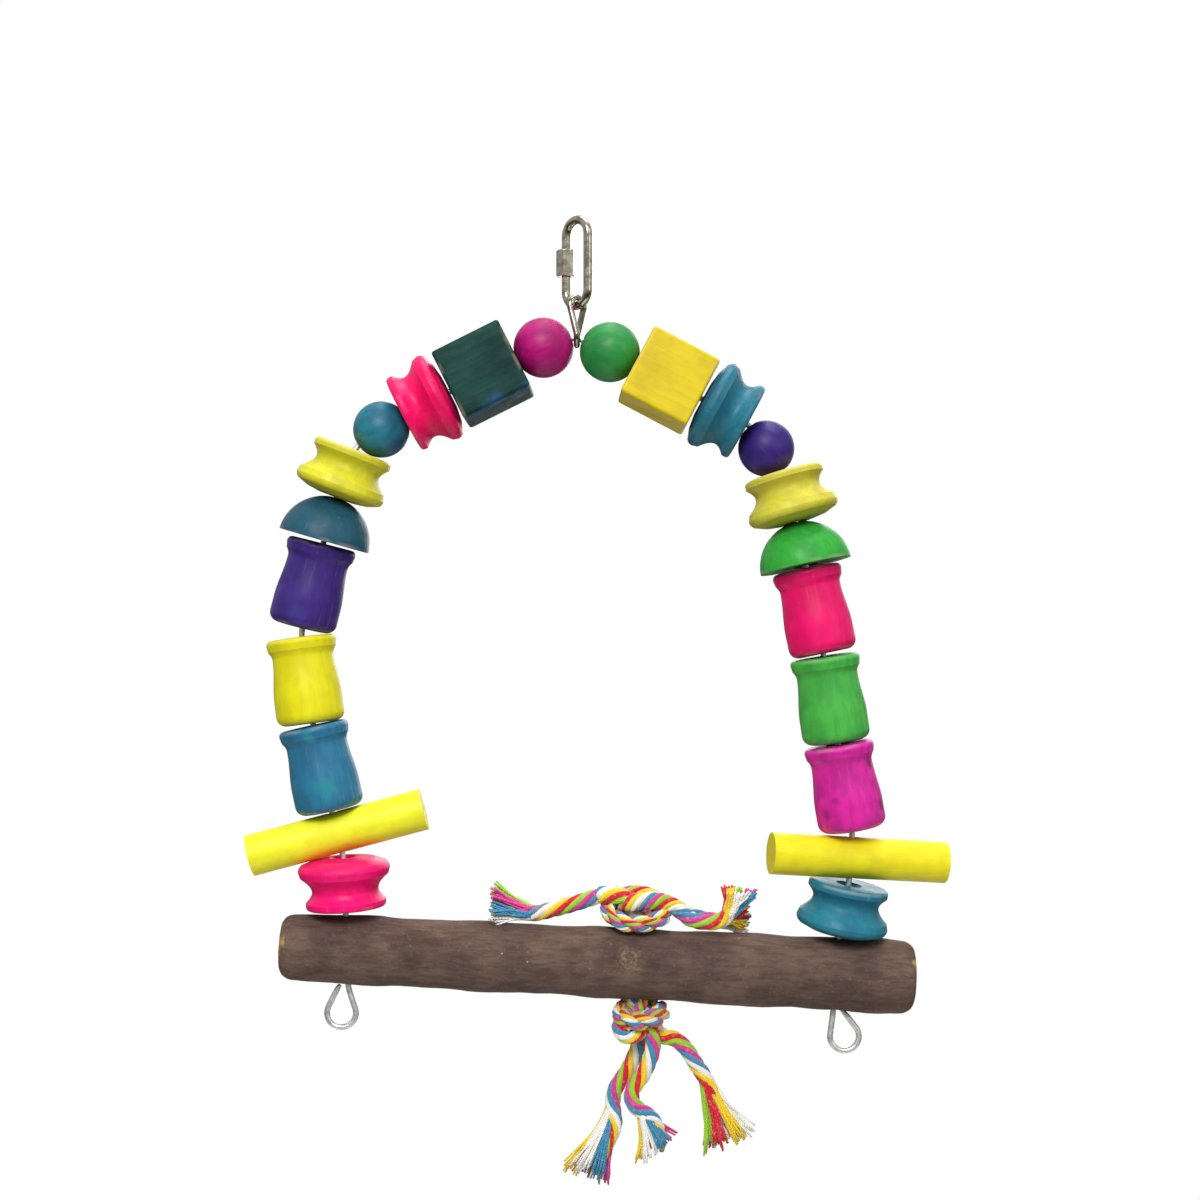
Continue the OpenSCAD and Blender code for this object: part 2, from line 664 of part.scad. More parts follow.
// Bead number i of one side, at its place on the wire
module strung(side, i) {
    pose = side == LEFT ? left_poses[i] : right_poses[i];
    tip = side == LEFT ? left_tips[i] : right_tips[i];
    turn = side == LEFT ? left_turns[i] : right_turns[i];
    kind = side == LEFT ? left_kinds[i] : right_kinds[i];
    translate([side * pose.x, 0, pose.y])
        rotate([tip, -side * pose.z, 0])
            rotate([0, 0, turn])
                bead(kind, side == RIGHT ? -right_dowel_hole_x : 0);
}

module left_ball() { color("#b01a86") strung(LEFT, 0); }
module left_cube() { color("#1f5a50") strung(LEFT, 1); }
module left_upper_spool() { color("#f01468") strung(LEFT, 2); }
module left_small_ball() { color("#1f7d92") strung(LEFT, 3); }
module left_middle_spool() { color("#e6e434") strung(LEFT, 4); }
module left_half_ball() { color("#2b7683") strung(LEFT, 5); }
module left_top_cup() { color("#43309a") strung(LEFT, 6); }
module left_middle_cup() { color("#f2ee22") strung(LEFT, 7); }
module left_bottom_cup() { color("#2a88ad") strung(LEFT, 8); }
module left_dowel() { color("#f5f02e") strung(LEFT, 9); }
module left_foot_spool() { color("#fa1a82") strung(LEFT, 10); }
module right_ball() { color("#2f9a48") strung(RIGHT, 0); }
module right_cube() { color("#ecd816") strung(RIGHT, 1); }
module right_upper_spool() { color("#2f7f92") strung(RIGHT, 2); }
module right_small_ball() { color("#3a2590") strung(RIGHT, 3); }
module right_middle_spool() { color("#e2dc3a") strung(RIGHT, 4); }
module right_half_ball() { color("#3cbc48") strung(RIGHT, 5); }
module right_top_cup() { color("#f01c74") strung(RIGHT, 6); }
module right_middle_cup() { color("#40b540") strung(RIGHT, 7); }
module right_bottom_cup() { color("#c922a0") strung(RIGHT, 8); }
module right_dowel() { color("#efe12a") strung(RIGHT, 9); }
module right_foot_spool() { color("#2696ae") strung(RIGHT, 10); }

// Places on the perch, from its middle along it and square to it
module on_perch(x) {
    translate([perch_mid.x, 0, perch_mid.y])
        rotate([0, perch_tilt, 0])
            translate([x, 0, 0])
                children();
}
knot_seat_z = perch_r_at(rope_hole_x) + seat_gap;

// Rope inside the perch, its ends drawn into the two knots
module rope_core() {
    color("white")
        on_perch(rope_hole_x)
            translate([0, 0, -knot_seat_z - lower_knot_h / 2])
                cylinder(d = rope_d, h = 2 * knot_seat_z + (upper_knot_h + lower_knot_h) / 2);
}

// Overhand knot of the laid rope: a rounded body with the rope's turn standing out round it
module knot(w, h) {
    belly_r = h / 2;
    lobe_x = w / 2 - belly_r;
    translate([0, 0, belly_r]) {
        for (x = [-lobe_x, lobe_x])
            translate([x, 0, 0])
                sphere(r = belly_r);
        rotate([0, 90, 0])
            cylinder(r = belly_r, h = 2 * lobe_x, center = true);
    }
}

module upper_knot() {
    color("#e85a8a")
        on_perch(rope_hole_x)
            translate([0, 0, knot_seat_z])
                knot(upper_knot_w, upper_knot_h);
}

module lower_knot() {
    color("#f0a03c")
        on_perch(rope_hole_x)
            mirror([0, 0, 1])
                translate([0, 0, knot_seat_z])
                    knot(lower_knot_w, lower_knot_h);
}

// Smooth route through hand-chosen points, and the tube round it
strand_sides = 8;
steps_per_leg = 2;
steep_share = 0.9;
function unit(v) = v / norm(v);
function smooth(p, t) =
    let (n = len(p), i = min(floor(t), n - 2), u = t - i,
        a = p[max(i - 1, 0)], b = p[i], c = p[i + 1], d = p[min(i + 2, n - 1)])
    0.5 * (2 * b + (c - a) * u + (2 * a - 5 * b + 4 * c - d) * u * u + (3 * b - a - 3 * c + d) * u * u * u);
function route(p) = [for (k = [0 : (len(p) - 1) * steps_per_leg]) smooth(p, k / steps_per_leg)];

module tube(points, d) {
    q = route(points);
    n = len(q);
    rings = [for (i = [0 : n - 1])
        let (t = unit(q[min(i + 1, n - 1)] - q[max(i - 1, 0)]),
            side = unit(cross(t, abs(t.y) > steep_share ? [1, 0, 0] : [0, 1, 0])),
            up = cross(side, t))
        for (k = [0 : strand_sides - 1])
            q[i] + d / 2 * (cos(360 * k / strand_sides) * side + sin(360 * k / strand_sides) * up)];
    polyhedron(rings, concat(
        [[for (k = [0 : strand_sides - 1]) k]],
        [for (i = [0 : n - 2], k = [0 : strand_sides - 1])
            let (m = (k + 1) % strand_sides, a = i * strand_sides)
            [a + k, a + strand_sides + k, a + strand_sides + m, a + m]],
        [[for (k = [strand_sides - 1 : -1 : 0]) (n - 1) * strand_sides + k]]));
}

module tail(points) {
    translate([perch_mid.x, 0, perch_mid.y])
        tube(points, strand_d);
}

module top_left_tail() { color("#e8e8e0") tail(top_left_route); }
module top_right_tail() { color("#f0c840") tail(top_right_route); }
module top_back_tail() { color("#60b8c8") tail(top_back_route); }
module bottom_left_tail() { color("#d84060") tail(bottom_left_route); }
module bottom_middle_tail() { color("#b0d040") tail(bottom_middle_route); }
module bottom_right_tail() { color("#e060a0") tail(bottom_right_route); }

quick_link_body();
quick_link_nut();
chain_link();
arch_wire();
perch();
left_ball();
left_cube();
left_upper_spool();
left_small_ball();
left_middle_spool();
left_half_ball();
left_top_cup();
left_middle_cup();
left_bottom_cup();
left_dowel();
left_foot_spool();
right_ball();
right_cube();
right_upper_spool();
right_small_ball();
right_middle_spool();
right_half_ball();
right_top_cup();
right_middle_cup();
right_bottom_cup();
right_dowel();
right_foot_spool();
rope_core();
upper_knot();
lower_knot();
top_left_tail();
top_right_tail();
top_back_tail();
bottom_left_tail();
bottom_middle_tail();
bottom_right_tail();
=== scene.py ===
# %% [markdown]
# # A hanging bird swing
# A wire arch is strung with dyed wooden beads. Its two feet go through a branch that
# still has its bark, a cotton rope is knotted through the branch, and a short chain link
# and a screw-lock link hang the whole from a cage. The solids come ready made in the
# frame: this lesson gives them their finishes, and adds the branch and the rope, which
# solids can't show well.

# %% Load the frame
import json
import math
import random

import bpy
from mathutils import Matrix, Vector

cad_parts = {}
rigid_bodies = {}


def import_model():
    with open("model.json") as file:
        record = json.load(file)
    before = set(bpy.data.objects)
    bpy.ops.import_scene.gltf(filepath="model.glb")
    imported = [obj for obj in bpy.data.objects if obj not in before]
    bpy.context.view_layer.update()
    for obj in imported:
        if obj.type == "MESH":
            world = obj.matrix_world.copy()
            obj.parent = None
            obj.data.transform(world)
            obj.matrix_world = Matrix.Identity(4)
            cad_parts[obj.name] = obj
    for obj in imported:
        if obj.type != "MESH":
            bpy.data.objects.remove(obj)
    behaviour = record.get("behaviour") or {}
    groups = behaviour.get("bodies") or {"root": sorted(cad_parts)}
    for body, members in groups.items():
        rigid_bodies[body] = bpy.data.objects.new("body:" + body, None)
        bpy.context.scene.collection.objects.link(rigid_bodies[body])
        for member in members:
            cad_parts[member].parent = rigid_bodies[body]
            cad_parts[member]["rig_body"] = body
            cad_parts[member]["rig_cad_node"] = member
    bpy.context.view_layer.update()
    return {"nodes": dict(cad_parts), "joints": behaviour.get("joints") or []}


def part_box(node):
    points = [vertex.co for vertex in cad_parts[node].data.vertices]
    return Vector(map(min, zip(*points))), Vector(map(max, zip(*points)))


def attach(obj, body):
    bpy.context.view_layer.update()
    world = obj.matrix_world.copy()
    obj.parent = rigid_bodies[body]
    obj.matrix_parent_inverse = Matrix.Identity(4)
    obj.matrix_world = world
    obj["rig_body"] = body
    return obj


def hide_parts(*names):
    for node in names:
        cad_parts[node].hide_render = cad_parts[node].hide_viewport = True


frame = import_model()

# %% [markdown]
# ## Camera
# The photograph looks level at the swing from the front. The camera stands a little over
# two thirds of a metre away, so that the beads hide one another as they do there, and its
# lens is worked out from the width that the picture covers at the arch.

# %% Place the camera
PICTURE_W = 0.4056  # metres across the picture at the arch
CAMERA_X, CAMERA_Y, CAMERA_Z = 0.0078, -0.68, -0.1270  # in front of the picture's middle
SENSOR_W = 36  # millimetres
lens_block = bpy.data.cameras.new("front_camera")
lens_block.sensor_width = SENSOR_W
lens_block.lens = SENSOR_W * -CAMERA_Y / PICTURE_W
camera = bpy.data.objects.new("front_camera", lens_block)
camera.location = (CAMERA_X, CAMERA_Y, CAMERA_Z)
camera.rotation_euler = (math.radians(90), 0, 0)
bpy.context.scene.collection.objects.link(camera)
bpy.context.scene.camera = camera
bpy.context.scene.view_settings.view_transform = "Standard"  # dyes as bright as in a product picture
print("lens", round(lens_block.lens, 1), "mm")

# %% [markdown]
# ## Floor and light
# The swing hangs free, so the pale floor lies well below it. One soft light stands high
# behind the camera, a weaker one fills from the right, one comes from above, and a pale
# sky keeps the shadows open, as in a product picture.

# %% Lay the floor and hang the lights
FLOOR_R, FLOOR_Z = 0.8, -0.75
bpy.ops.mesh.primitive_circle_add(vertices=96, radius=FLOOR_R, fill_type="NGON", location=(0, 0, FLOOR_Z))
floor = bpy.context.object
floor.name = "floor"


def soft_light(name, place, aim, size, power):
    """Hang one square soft light at a place, turned to its aim."""
    block = bpy.data.lights.new(name, "AREA")
    block.size = size
    block.energy = power
    lamp = bpy.data.objects.new(name, block)
    lamp.location = place
    lamp.rotation_euler = (Vector(aim) - Vector(place)).to_track_quat("-Z", "Y").to_euler()
    bpy.context.scene.collection.objects.link(lamp)


MIDDLE = (0, 0, -0.15)  # of the swing, where every light aims
soft_light("key_light", (-0.15, -1.0, 0.55), MIDDLE, 0.45, 11.5)
soft_light("fill_light", (1.0, -0.9, 0.3), MIDDLE, 0.9, 2.5)
soft_light("top_light", (0.1, 0.1, 0.9), MIDDLE, 0.8, 7)
soft_light("back_light", (0.3, 1.2, 0.2), MIDDLE, 0.9, 7)

# %% [markdown]
# ## Finishes
# Every finish is made of shader nodes. One small function adds a node with its settings
# and links, one turns a colour as a painter names it into the linear light that the
# renderer counts in, and one starts a material and sets what is the same all over it.

# %% Helpers for finishes
IOR = 1.45  # of wood, cotton and matt paint
DULL_GLEAM = 0.25  # open, unvarnished surfaces gleam little


def linear(code):
    """An sRGB hex colour as linear light, opaque."""
    parts = [int(code[i:i + 2], 16) / 255 for i in (0, 2, 4)]
    return tuple(p / 12.92 if p <= 0.04045 else ((p + 0.055) / 1.055) ** 2.4 for p in parts) + (1.0,)


def add(tree, kind, inputs=None, **settings):
    """Add one shader node, set it, and fill or link its inputs."""
    made = tree.nodes.new("ShaderNode" + kind)
    for name, value in settings.items():
        setattr(made, name, value)
    for socket, value in (inputs or {}).items():
        if isinstance(value, bpy.types.NodeSocket):
            tree.links.new(value, made.inputs[socket])
        else:
            made.inputs[socket].default_value = value
    return made


def finish_of(name, roughness, metallic=0.0, gleam=DULL_GLEAM):
    """Start a material, and return it with its node tree and its surface shader."""
    made = bpy.data.materials.new(name)
    made.use_nodes = True
    shader = made.node_tree.nodes["Principled BSDF"]
    shader.inputs["Roughness"].default_value = roughness
    shader.inputs["Metallic"].default_value = metallic
    if not metallic:
        shader.inputs["IOR"].default_value = IOR
        shader.inputs["Specular IOR Level"].default_value = gleam
    return made, made.node_tree, shader


def between(tree, share, first, second):
    """Mix two colours, each a hex code or a socket, by a share."""
    ends = [linear(c) if isinstance(c, str) else c for c in (first, second)]
    return add(tree, "Mix", {0: share, 6: ends[0], 7: ends[1]}, data_type="RGBA").outputs[2]


def spread(tree, value, low, high, to_low=0.0, to_high=1.0):
    """Stretch the part of a pattern between two levels to a new range, softly at both ends."""
    return add(tree, "MapRange", {"Value": value, "From Min": low, "From Max": high, "To Min": to_low,
                                  "To Max": to_high}, interpolation_type="SMOOTHSTEP").outputs[0]


def bumped(tree, shader, height, depth, strength):
    """Let a pattern stand out of the surface by a depth in metres."""
    bump = add(tree, "Bump", {"Strength": strength, "Distance": depth, "Height": height})
    tree.links.new(bump.outputs[0], shader.inputs["Normal"])


def distance(tree, spot, place):
    """How far each spot lies from a place. The place is in millimetres, the distance in metres."""
    ends = {0: spot, 1: [v / 1000 for v in place]}
    return add(tree, "VectorMath", ends, operation="DISTANCE").outputs["Value"]


def patch(tree, spot, cloud, place, radius, strength):
    """How far a ragged patch round a place reaches. The place and the radius are in millimetres."""
    reach = radius / 1000
    # the clouds, whose mean is about a half, push the rim in and out
    ragged = add(tree, "Math", {0: cloud, 1: reach * 2.2, 2: distance(tree, spot, place)},
                 operation="MULTIPLY_ADD").outputs[0]
    return spread(tree, ragged, reach * 2.1, reach * 1.25, 0.0, strength)


def times(tree, first, second):
    """Two patterns, multiplied."""
    return add(tree, "Math", {0: first, 1: second}, operation="MULTIPLY").outputs[0]


print("helpers ready")

# %% [markdown]
# ### Floor and sky
# Both are near white. The floor is a matt painted board. The sky is seen as a white
# backdrop, but it lights the swing with half that strength from above and less from
# below, so that the beads keep their shading and the metal has something darker than
# white to mirror.

# %% Finish the floor and the sky
matt_board, tree, shader = finish_of("matt_board", 0.9)
grain = add(tree, "TexNoise", {"Vector": add(tree, "TexCoord").outputs["Object"], "Scale": 40.0})
tree.links.new(between(tree, grain.outputs[0], "d6d6d4", "d0d0ce"), shader.inputs["Base Color"])
floor.data.materials.append(matt_board)
sky = bpy.data.worlds.new("pale_sky")
sky.use_nodes = True
SKY_HIGH, SKY_LOW = 0.52, 0.04
tree = sky.node_tree
backdrop = tree.nodes["Background"]
backdrop.inputs[0].default_value = linear("ffffff")
upward = add(tree, "SeparateXYZ", {0: add(tree, "TexCoord").outputs["Generated"]}).outputs[2]
lighting = spread(tree, upward, -0.5, 0.4, SKY_LOW, SKY_HIGH)
rest = add(tree, "Math", {0: 1.0, 1: lighting}, operation="SUBTRACT").outputs[0]
seen = add(tree, "LightPath").outputs["Is Camera Ray"]
level = add(tree, "Math", {0: seen, 1: rest, 2: lighting}, operation="MULTIPLY_ADD").outputs[0]
tree.links.new(level, backdrop.inputs[1])
bpy.context.scene.world = sky
print("sky lights from", SKY_LOW, "below to", SKY_HIGH, "above")

# %% [markdown]
# ## The rope
# The rope is laid cotton: three strands, each of six coloured yarns turned together. At
# each end of the swing's rope the strands part, hang or lie apart, and fray. A strand
# could be six separate yarns, but one tube with six lobes that wind along it looks the
# same and stays light. The routes repeat the points of the solid model, but for the bottom
# right one, which leaves its knot over a small hump.

# %% Rope sizes and routes
HEART = Vector((0.00463, 0.0, -0.24918))  # half-way between the wire's feet, on the branch's middle line
STRAND_R = 0.0027
STRAND_PITCH = 0.0235  # length in which the six colours go round once
LAID_PITCH = 0.011  # the same for the tighter strands of laid rope
STRANDS = 3  # in laid rope
YARNS = 6  # in a strand
ROUTES = {
    "top_left": [(0.01, -0.001, 0.023), (0.0035, -0.0015, 0.0225), (-0.005, -0.002, 0.02),
                 (-0.0125, -0.002, 0.018), (-0.0195, -0.0015, 0.0165), (-0.027, -0.001, 0.018),
                 (-0.033, 0, 0.021)],
    "top_right": [(0.024, -0.004, 0.021), (0.029, -0.005, 0.0185), (0.0345, -0.0065, 0.015),
                  (0.042, -0.007, 0.0145), (0.046, -0.007, 0.017), (0.048, -0.007, 0.0205),
                  (0.05, -0.0065, 0.024)],
    "top_back": [(0.024, 0.003, 0.02), (0.03, 0.0045, 0.017), (0.038, 0.0065, 0.0135),
                 (0.0465, 0.006, 0.013), (0.0545, 0.004, 0.015)],
    "bottom_left": [(0.017, 0.002, -0.0205), (0.0165, 0.0025, -0.028), (0.013, 0.003, -0.0365),
                    (0.0085, 0.0025, -0.0435), (0.0075, 0.0015, -0.049), (0.0085, 0, -0.0555),
                    (0.006, 0, -0.063), (0.0025, 0, -0.071)],
    "bottom_middle": [(0.02, -0.003, -0.0205), (0.021, -0.003, -0.0285), (0.018, -0.0025, -0.037),
                      (0.014, -0.003, -0.043), (0.015, -0.0035, -0.048), (0.021, -0.0025, -0.0525),
                      (0.024, -0.0015, -0.058), (0.024, -0.001, -0.064)],
    "bottom_right": [(0.0215, 0.0005, -0.0225), (0.0245, 0, -0.0252), (0.0285, 0, -0.0262),
                     (0.032, 0, -0.0292), (0.0352, 0, -0.034), (0.039, 0, -0.04),
                     (0.042, 0, -0.047), (0.0445, 0, -0.054), (0.0465, 0, -0.06)],
}


def smooth_line(points, steps=10):
    """Points close together on one smooth curve through the given ones."""
    made, last = [], len(points) - 1
    for k in range(last * steps + 1):
        i = min(k // steps, last - 1)
        u = k / steps - i
        a, b, c, d = (Vector(points[j]) for j in (max(i - 1, 0), i, i + 1, min(i + 2, last)))
        made.append(0.5 * (2 * b + (c - a) * u + (2 * a - 5 * b + 4 * c - d) * u * u
                           + (3 * b - a - 3 * c + d) * u ** 3))
    return made


def length_of(line):
    """Length along a line of points."""
    return sum((b - a).length for a, b in zip(line, line[1:]))


def squares(line):
    """At each point of a line its direction and two directions square to it, carried along untwisted."""
    made, side = [], None
    for i in range(len(line)):
        ahead = (line[min(i + 1, len(line) - 1)] - line[max(i - 1, 0)]).normalized()
        side = (side or ahead.orthogonal()).normalized()
        side = (side - ahead * side.dot(ahead)).normalized()
        made.append((ahead, side, ahead.cross(side)))
    return made


print({n: round(length_of(smooth_line(r)) * 1000, 1) for n, r in ROUTES.items()}, "mm")

# %% [markdown]
# The skin of a strand is a ring of points that follows the six lobes and turns as it goes
# along. Its own map keeps the place round the strand and the place along it in metres, so
# that the material can colour each yarn and lay its fibres at their real size.

# %% Build strands, threads and laid rope


class Skin:
    """Faces gathered for one rope piece, with their map."""

    def __init__(self):
        self.points, self.faces, self.marks = [], [], []

    def tube(self, line, radius, around, shape, turn, mark):
        """A closed tube. shape(k) is a share of the radius, turn(s) an angle, mark(k) a place round it."""
        first, s, rows = len(self.points), 0.0, []
        for i, (p, (ahead, side, up)) in enumerate(zip(line, squares(line))):
            s += (p - line[i - 1]).length if i else 0.0
            rows.append(s)
            for k in range(around):
                angle = turn(s) + 2 * math.pi * k / around
                self.points.append(p + radius(i) * shape(k) * (math.cos(angle) * side + math.sin(angle) * up))
        for i in range(len(line) - 1):
            for k in range(around):
                m, base = (k + 1) % around, first + i * around
                self.faces.append((base + k, base + m, base + around + m, base + around + k))
                self.marks.append([(mark(k), rows[i]), (mark(k + 1), rows[i]), (mark(k + 1), rows[i + 1]),
                                   (mark(k), rows[i + 1])])
        for i, order in ((0, range(around - 1, -1, -1)), (len(line) - 1, range(around))):
            centre = len(self.points)
            self.points.append(line[i])
            order = list(order)
            for a, b in zip(order, order[1:] + order[:1]):
                self.faces.append((first + i * around + a, first + i * around + b, centre))
                self.marks.append([(mark(min(a, b)) + 0.01, rows[i])] * 3)

    def strand(self, line, radius, pitch=STRAND_PITCH, start=0.0, taper=lambda share: 1.0, per=5, order=1):
        """Six yarns turned together, with a few points per yarn. An order of -1 reverses the colours."""
        around = YARNS * per
        self.tube(line, lambda i: radius * taper(i / (len(line) - 1)), around,
                  lambda k: 0.80 + 0.20 * abs(math.sin(math.pi * k / per)) ** 0.7,
                  lambda s: start - 2 * math.pi * s / pitch, lambda k: (order * k / around) % 1.0001)

    def thread(self, line, radius, yarn):
        """One loose thread of a given yarn, thinner towards its tip."""
        last = len(line) - 1
        self.tube(line, lambda i: radius * (1 - 0.35 * i / last), 5, lambda k: 1.0, lambda s: 0.0,
                  lambda k: (yarn + 0.3 + 0.08 * k) / YARNS)

    def laid(self, line, radius, lay, pitch, start=0.0, taper=lambda share: 1.0):
        """Strands laid round a common line into rope, each turned against the lay."""
        dirs = squares(line)
        for c in range(STRANDS):
            s, own = 0.0, []
            for i, (p, (ahead, side, up)) in enumerate(zip(line, dirs)):
                s += (p - line[i - 1]).length if i else 0.0
                angle = start + 2 * math.pi * s / pitch + 2 * math.pi * c / STRANDS
                out = math.cos(angle) * side + math.sin(angle) * up
                own.append(p + lay * taper(i / (len(line) - 1)) * out)
            self.strand(own, radius, LAID_PITCH, start=2.1 * c, taper=taper, per=4)

    def piece(self, name):
        """The gathered faces as one smooth object on the swing's frame."""
        mesh = bpy.data.meshes.new(name)
        mesh.from_pydata([tuple(p) for p in self.points], [], self.faces)
        layer = mesh.uv_layers.new(name="yarn_map")
        spots = [spot for mark in self.marks for spot in mark]
        layer.data.foreach_set("uv", [v for spot in spots for v in spot])
        mesh.polygons.foreach_set("use_smooth", [True] * len(mesh.polygons))
        made = bpy.data.objects.new(name, mesh)
        bpy.context.scene.collection.objects.link(made)
        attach(made, "swing_frame")
        print(name, len(mesh.polygons), "faces")
        return made


print("a strand has", YARNS, "yarns,", round(STRAND_R * 2000, 1), "mm across")

# %% [markdown]
# ### Cotton
# The yarns are soft-spun mercerised cotton in six colours: natural white, yellow, red,
# lime, pink and sky blue. Cotton is matt with a faint sheen at grazing light, and its
# fibres run aslant along each yarn, about three to a millimetre. They are drawn a little
# coarser than that, so that they show at this distance. The grooves between the fibres
# are painted darker, as painted shade.

# %% Finish the cotton
dyed_cotton, tree, shader = finish_of("dyed_cotton_yarn", 0.85)
shader.inputs["Sheen Weight"].default_value = 0.35
shader.inputs["Sheen Roughness"].default_value = 0.45
place = add(tree, "UVMap", uv_map="yarn_map").outputs[0]
ramp = add(tree, "ValToRGB")
ramp.color_ramp.interpolation = "CONSTANT"
YARN_COLOURS = ["fffdf5", "ffdc1e", "e0142e", "a2d82a", "df3c98", "3793bd"]
while len(ramp.color_ramp.elements) < YARNS:
    ramp.color_ramp.elements.new(0.5)
for k, code in enumerate(YARN_COLOURS):
    ramp.color_ramp.elements[k].position = k / YARNS
    ramp.color_ramp.elements[k].color = linear(code)
tree.links.new(add(tree, "SeparateXYZ", {0: place}).outputs[0], ramp.inputs[0])
# 16 mm round a strand and 1 m along it bring the map to real lengths
real = add(tree, "Mapping", {"Vector": place, "Scale": (0.016, 1, 1), "Rotation": (0, 0, 0.5)}).outputs[0]
fibre_relief_and_groove_shade = add(tree, "TexWave", {"Vector": real, "Scale": 620.0, "Distortion": 2.5, "Detail": 2.0,
                              "Detail Scale": 1.5}).outputs["Fac"]
world_place = add(tree, "TexCoord").outputs["Object"]
fuzz = add(tree, "TexNoise", {"Vector": world_place, "Scale": 900.0, "Detail": 4.0}).outputs[0]
stain = add(tree, "TexNoise", {"Vector": world_place, "Scale": 160.0, "Detail": 2.0}).outputs[0]
# painted shade: the low parts of the fibre pattern, the grooves between the fibres, are darkened towards a
# shadow brown
shade = between(tree, spread(tree, fibre_relief_and_groove_shade, 0.15, 0.75, 0.12, 0.0), ramp.outputs[0], "6b5a50")
shade = between(tree, spread(tree, fuzz, 0.5, 0.8, 0.0, 0.25), shade, "fff6e6")
shade = between(tree, spread(tree, stain, 0.5, 0.75, 0.0, 0.16), shade, "b07a8a")
tree.links.new(shade, shader.inputs["Base Color"])
height = add(tree, "Math", {0: fibre_relief_and_groove_shade, 1: fuzz}, operation="ADD").outputs[0]
bumped(tree, shader, height, 0.00016, 0.7)
print(len(YARN_COLOURS), "yarn colours")

# %% [markdown]
# ### Tails
# Beyond each knot the three strands go their own ways. Near its end a strand thins, and
# its yarns spread as a brush of loose threads. Each brush has its own tip and its own
# width, read from the photograph, and the threads of one yarn stay together.

# %% Build the six tails with their frayed ends
FRAYS = {  # share of the route where fraying starts, tip of the brush, half its width
    "top_left": (0.72, (-0.0348, 0.0, 0.0200), (0.0, 0.001, 0.0046)),
    "top_right": (0.74, (0.051, -0.007, 0.0265), (0.0045, 0.001, -0.0004)),
    "top_back": (0.72, (0.0545, 0.004, 0.0145), (0.0005, 0.001, 0.004)),
    "bottom_left": (0.62, (-0.001, 0.0, -0.0735), (0.0068, 0.001, -0.0034)),
    "bottom_middle": (0.66, (0.0235, -0.001, -0.0635), (0.0058, 0.0015, 0.0034)),
    "bottom_right": (0.66, (0.0475, 0.0, -0.0625), (0.0066, 0.001, 0.0018)),
}
# angle at which the colours start round a strand; for a strand not named here any angle does
TURNS = {"top_left": 2.53, "top_right": 4.0, "bottom_middle": 2.24, "bottom_right": 0.94}
THREADS = 19  # loose ones of each yarn
THREAD_R = 0.0005
THREAD_POINTS = 8
threads_rng = random.Random(11)
for name, route in ROUTES.items():
    line = [HEART + p for p in smooth_line(route)]
    start_share, tip, wide = FRAYS[name]
    n = int(start_share * (len(line) - 1))
    order = 1 if name.startswith("bottom") else -1
    start = TURNS.get(name, 1.3 * len(name))
    core = Skin()
    core.strand(line, STRAND_R, start=start, order=order,
                taper=lambda share: 1.0 if share < start_share
                else 1.0 - 0.72 * (share - start_share) / (1 - start_share))
    strand = core.piece(name + "_strand")
    brush = Skin()
    root, (ahead, side, up) = line[n], squares(line)[n]
    tip, wide = HEART + Vector(tip), Vector(wide)
    run = tip - root
    thin = run.cross(wide).normalized() * wide.length * 0.3
    turned = start - 2 * math.pi * length_of(line[:n + 1]) / STRAND_PITCH
    for yarn in range(YARNS):
        angle = turned + 2 * math.pi * (yarn + 0.5) / YARNS
        out = math.cos(angle) * side + math.sin(angle) * up
        for _ in range(THREADS):
            jig = Vector([threads_rng.uniform(-1, 1) for _ in range(3)])
            begin = root - ahead * 0.0015 + out * STRAND_R * 0.62 + jig * 0.0006
            across = out.dot(wide.normalized()) * 0.75 + threads_rng.uniform(-0.38, 0.38)
            goal = (run * threads_rng.uniform(0.86, 1.05) + wide * across
                    + thin * (out.dot(thin.normalized()) * 0.8 + threads_rng.uniform(-0.5, 0.5)))
            wave = threads_rng.uniform(-1, 1) * 0.0006
            path = []
            for k in range(THREAD_POINTS):
                u = k / (THREAD_POINTS - 1)
                path.append(begin + run * u + (goal - run) * u ** 1.5
                            + wave * math.sin(math.pi * 1.6 * u) * wide.normalized())
            brush.thread(path, THREAD_R, yarn if order > 0 else YARNS - 1 - yarn)
    tuft = brush.piece(name + "_fray")
    strand.data.materials.append(dyed_cotton)
    tuft.data.materials.append(dyed_cotton)
    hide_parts(name + "_tail")
    print(name, round(length_of(line) * 1000, 1), "mm")

# %% [markdown]
# ### Knots
# The upper knot is one turn of the whole rope, lying on the branch. The rope comes up
# through its middle. A full strand lies across its front and becomes the right tail, and
# the left tail's strand passes over the top and dips behind that one. The lower knot is a
# tighter ring round the rope's stem, with one strand bulging out below it. Tying the rope
# by simulation would take long and end elsewhere, so each part is laid along a route of
# its own.

# %% Tie the two knots


def on_branch(points):
    """A smooth line through points in millimetres from the swing's heart."""
    return [HEART + p for p in smooth_line([Vector(q) / 1000 for q in points], 9)]


def eased(share):
    """Thin out at both ends, where strands run into other parts of a knot."""
    return min(1.0, 0.35 + 6 * share, 0.35 + 6 * (1 - share))


upper = Skin()
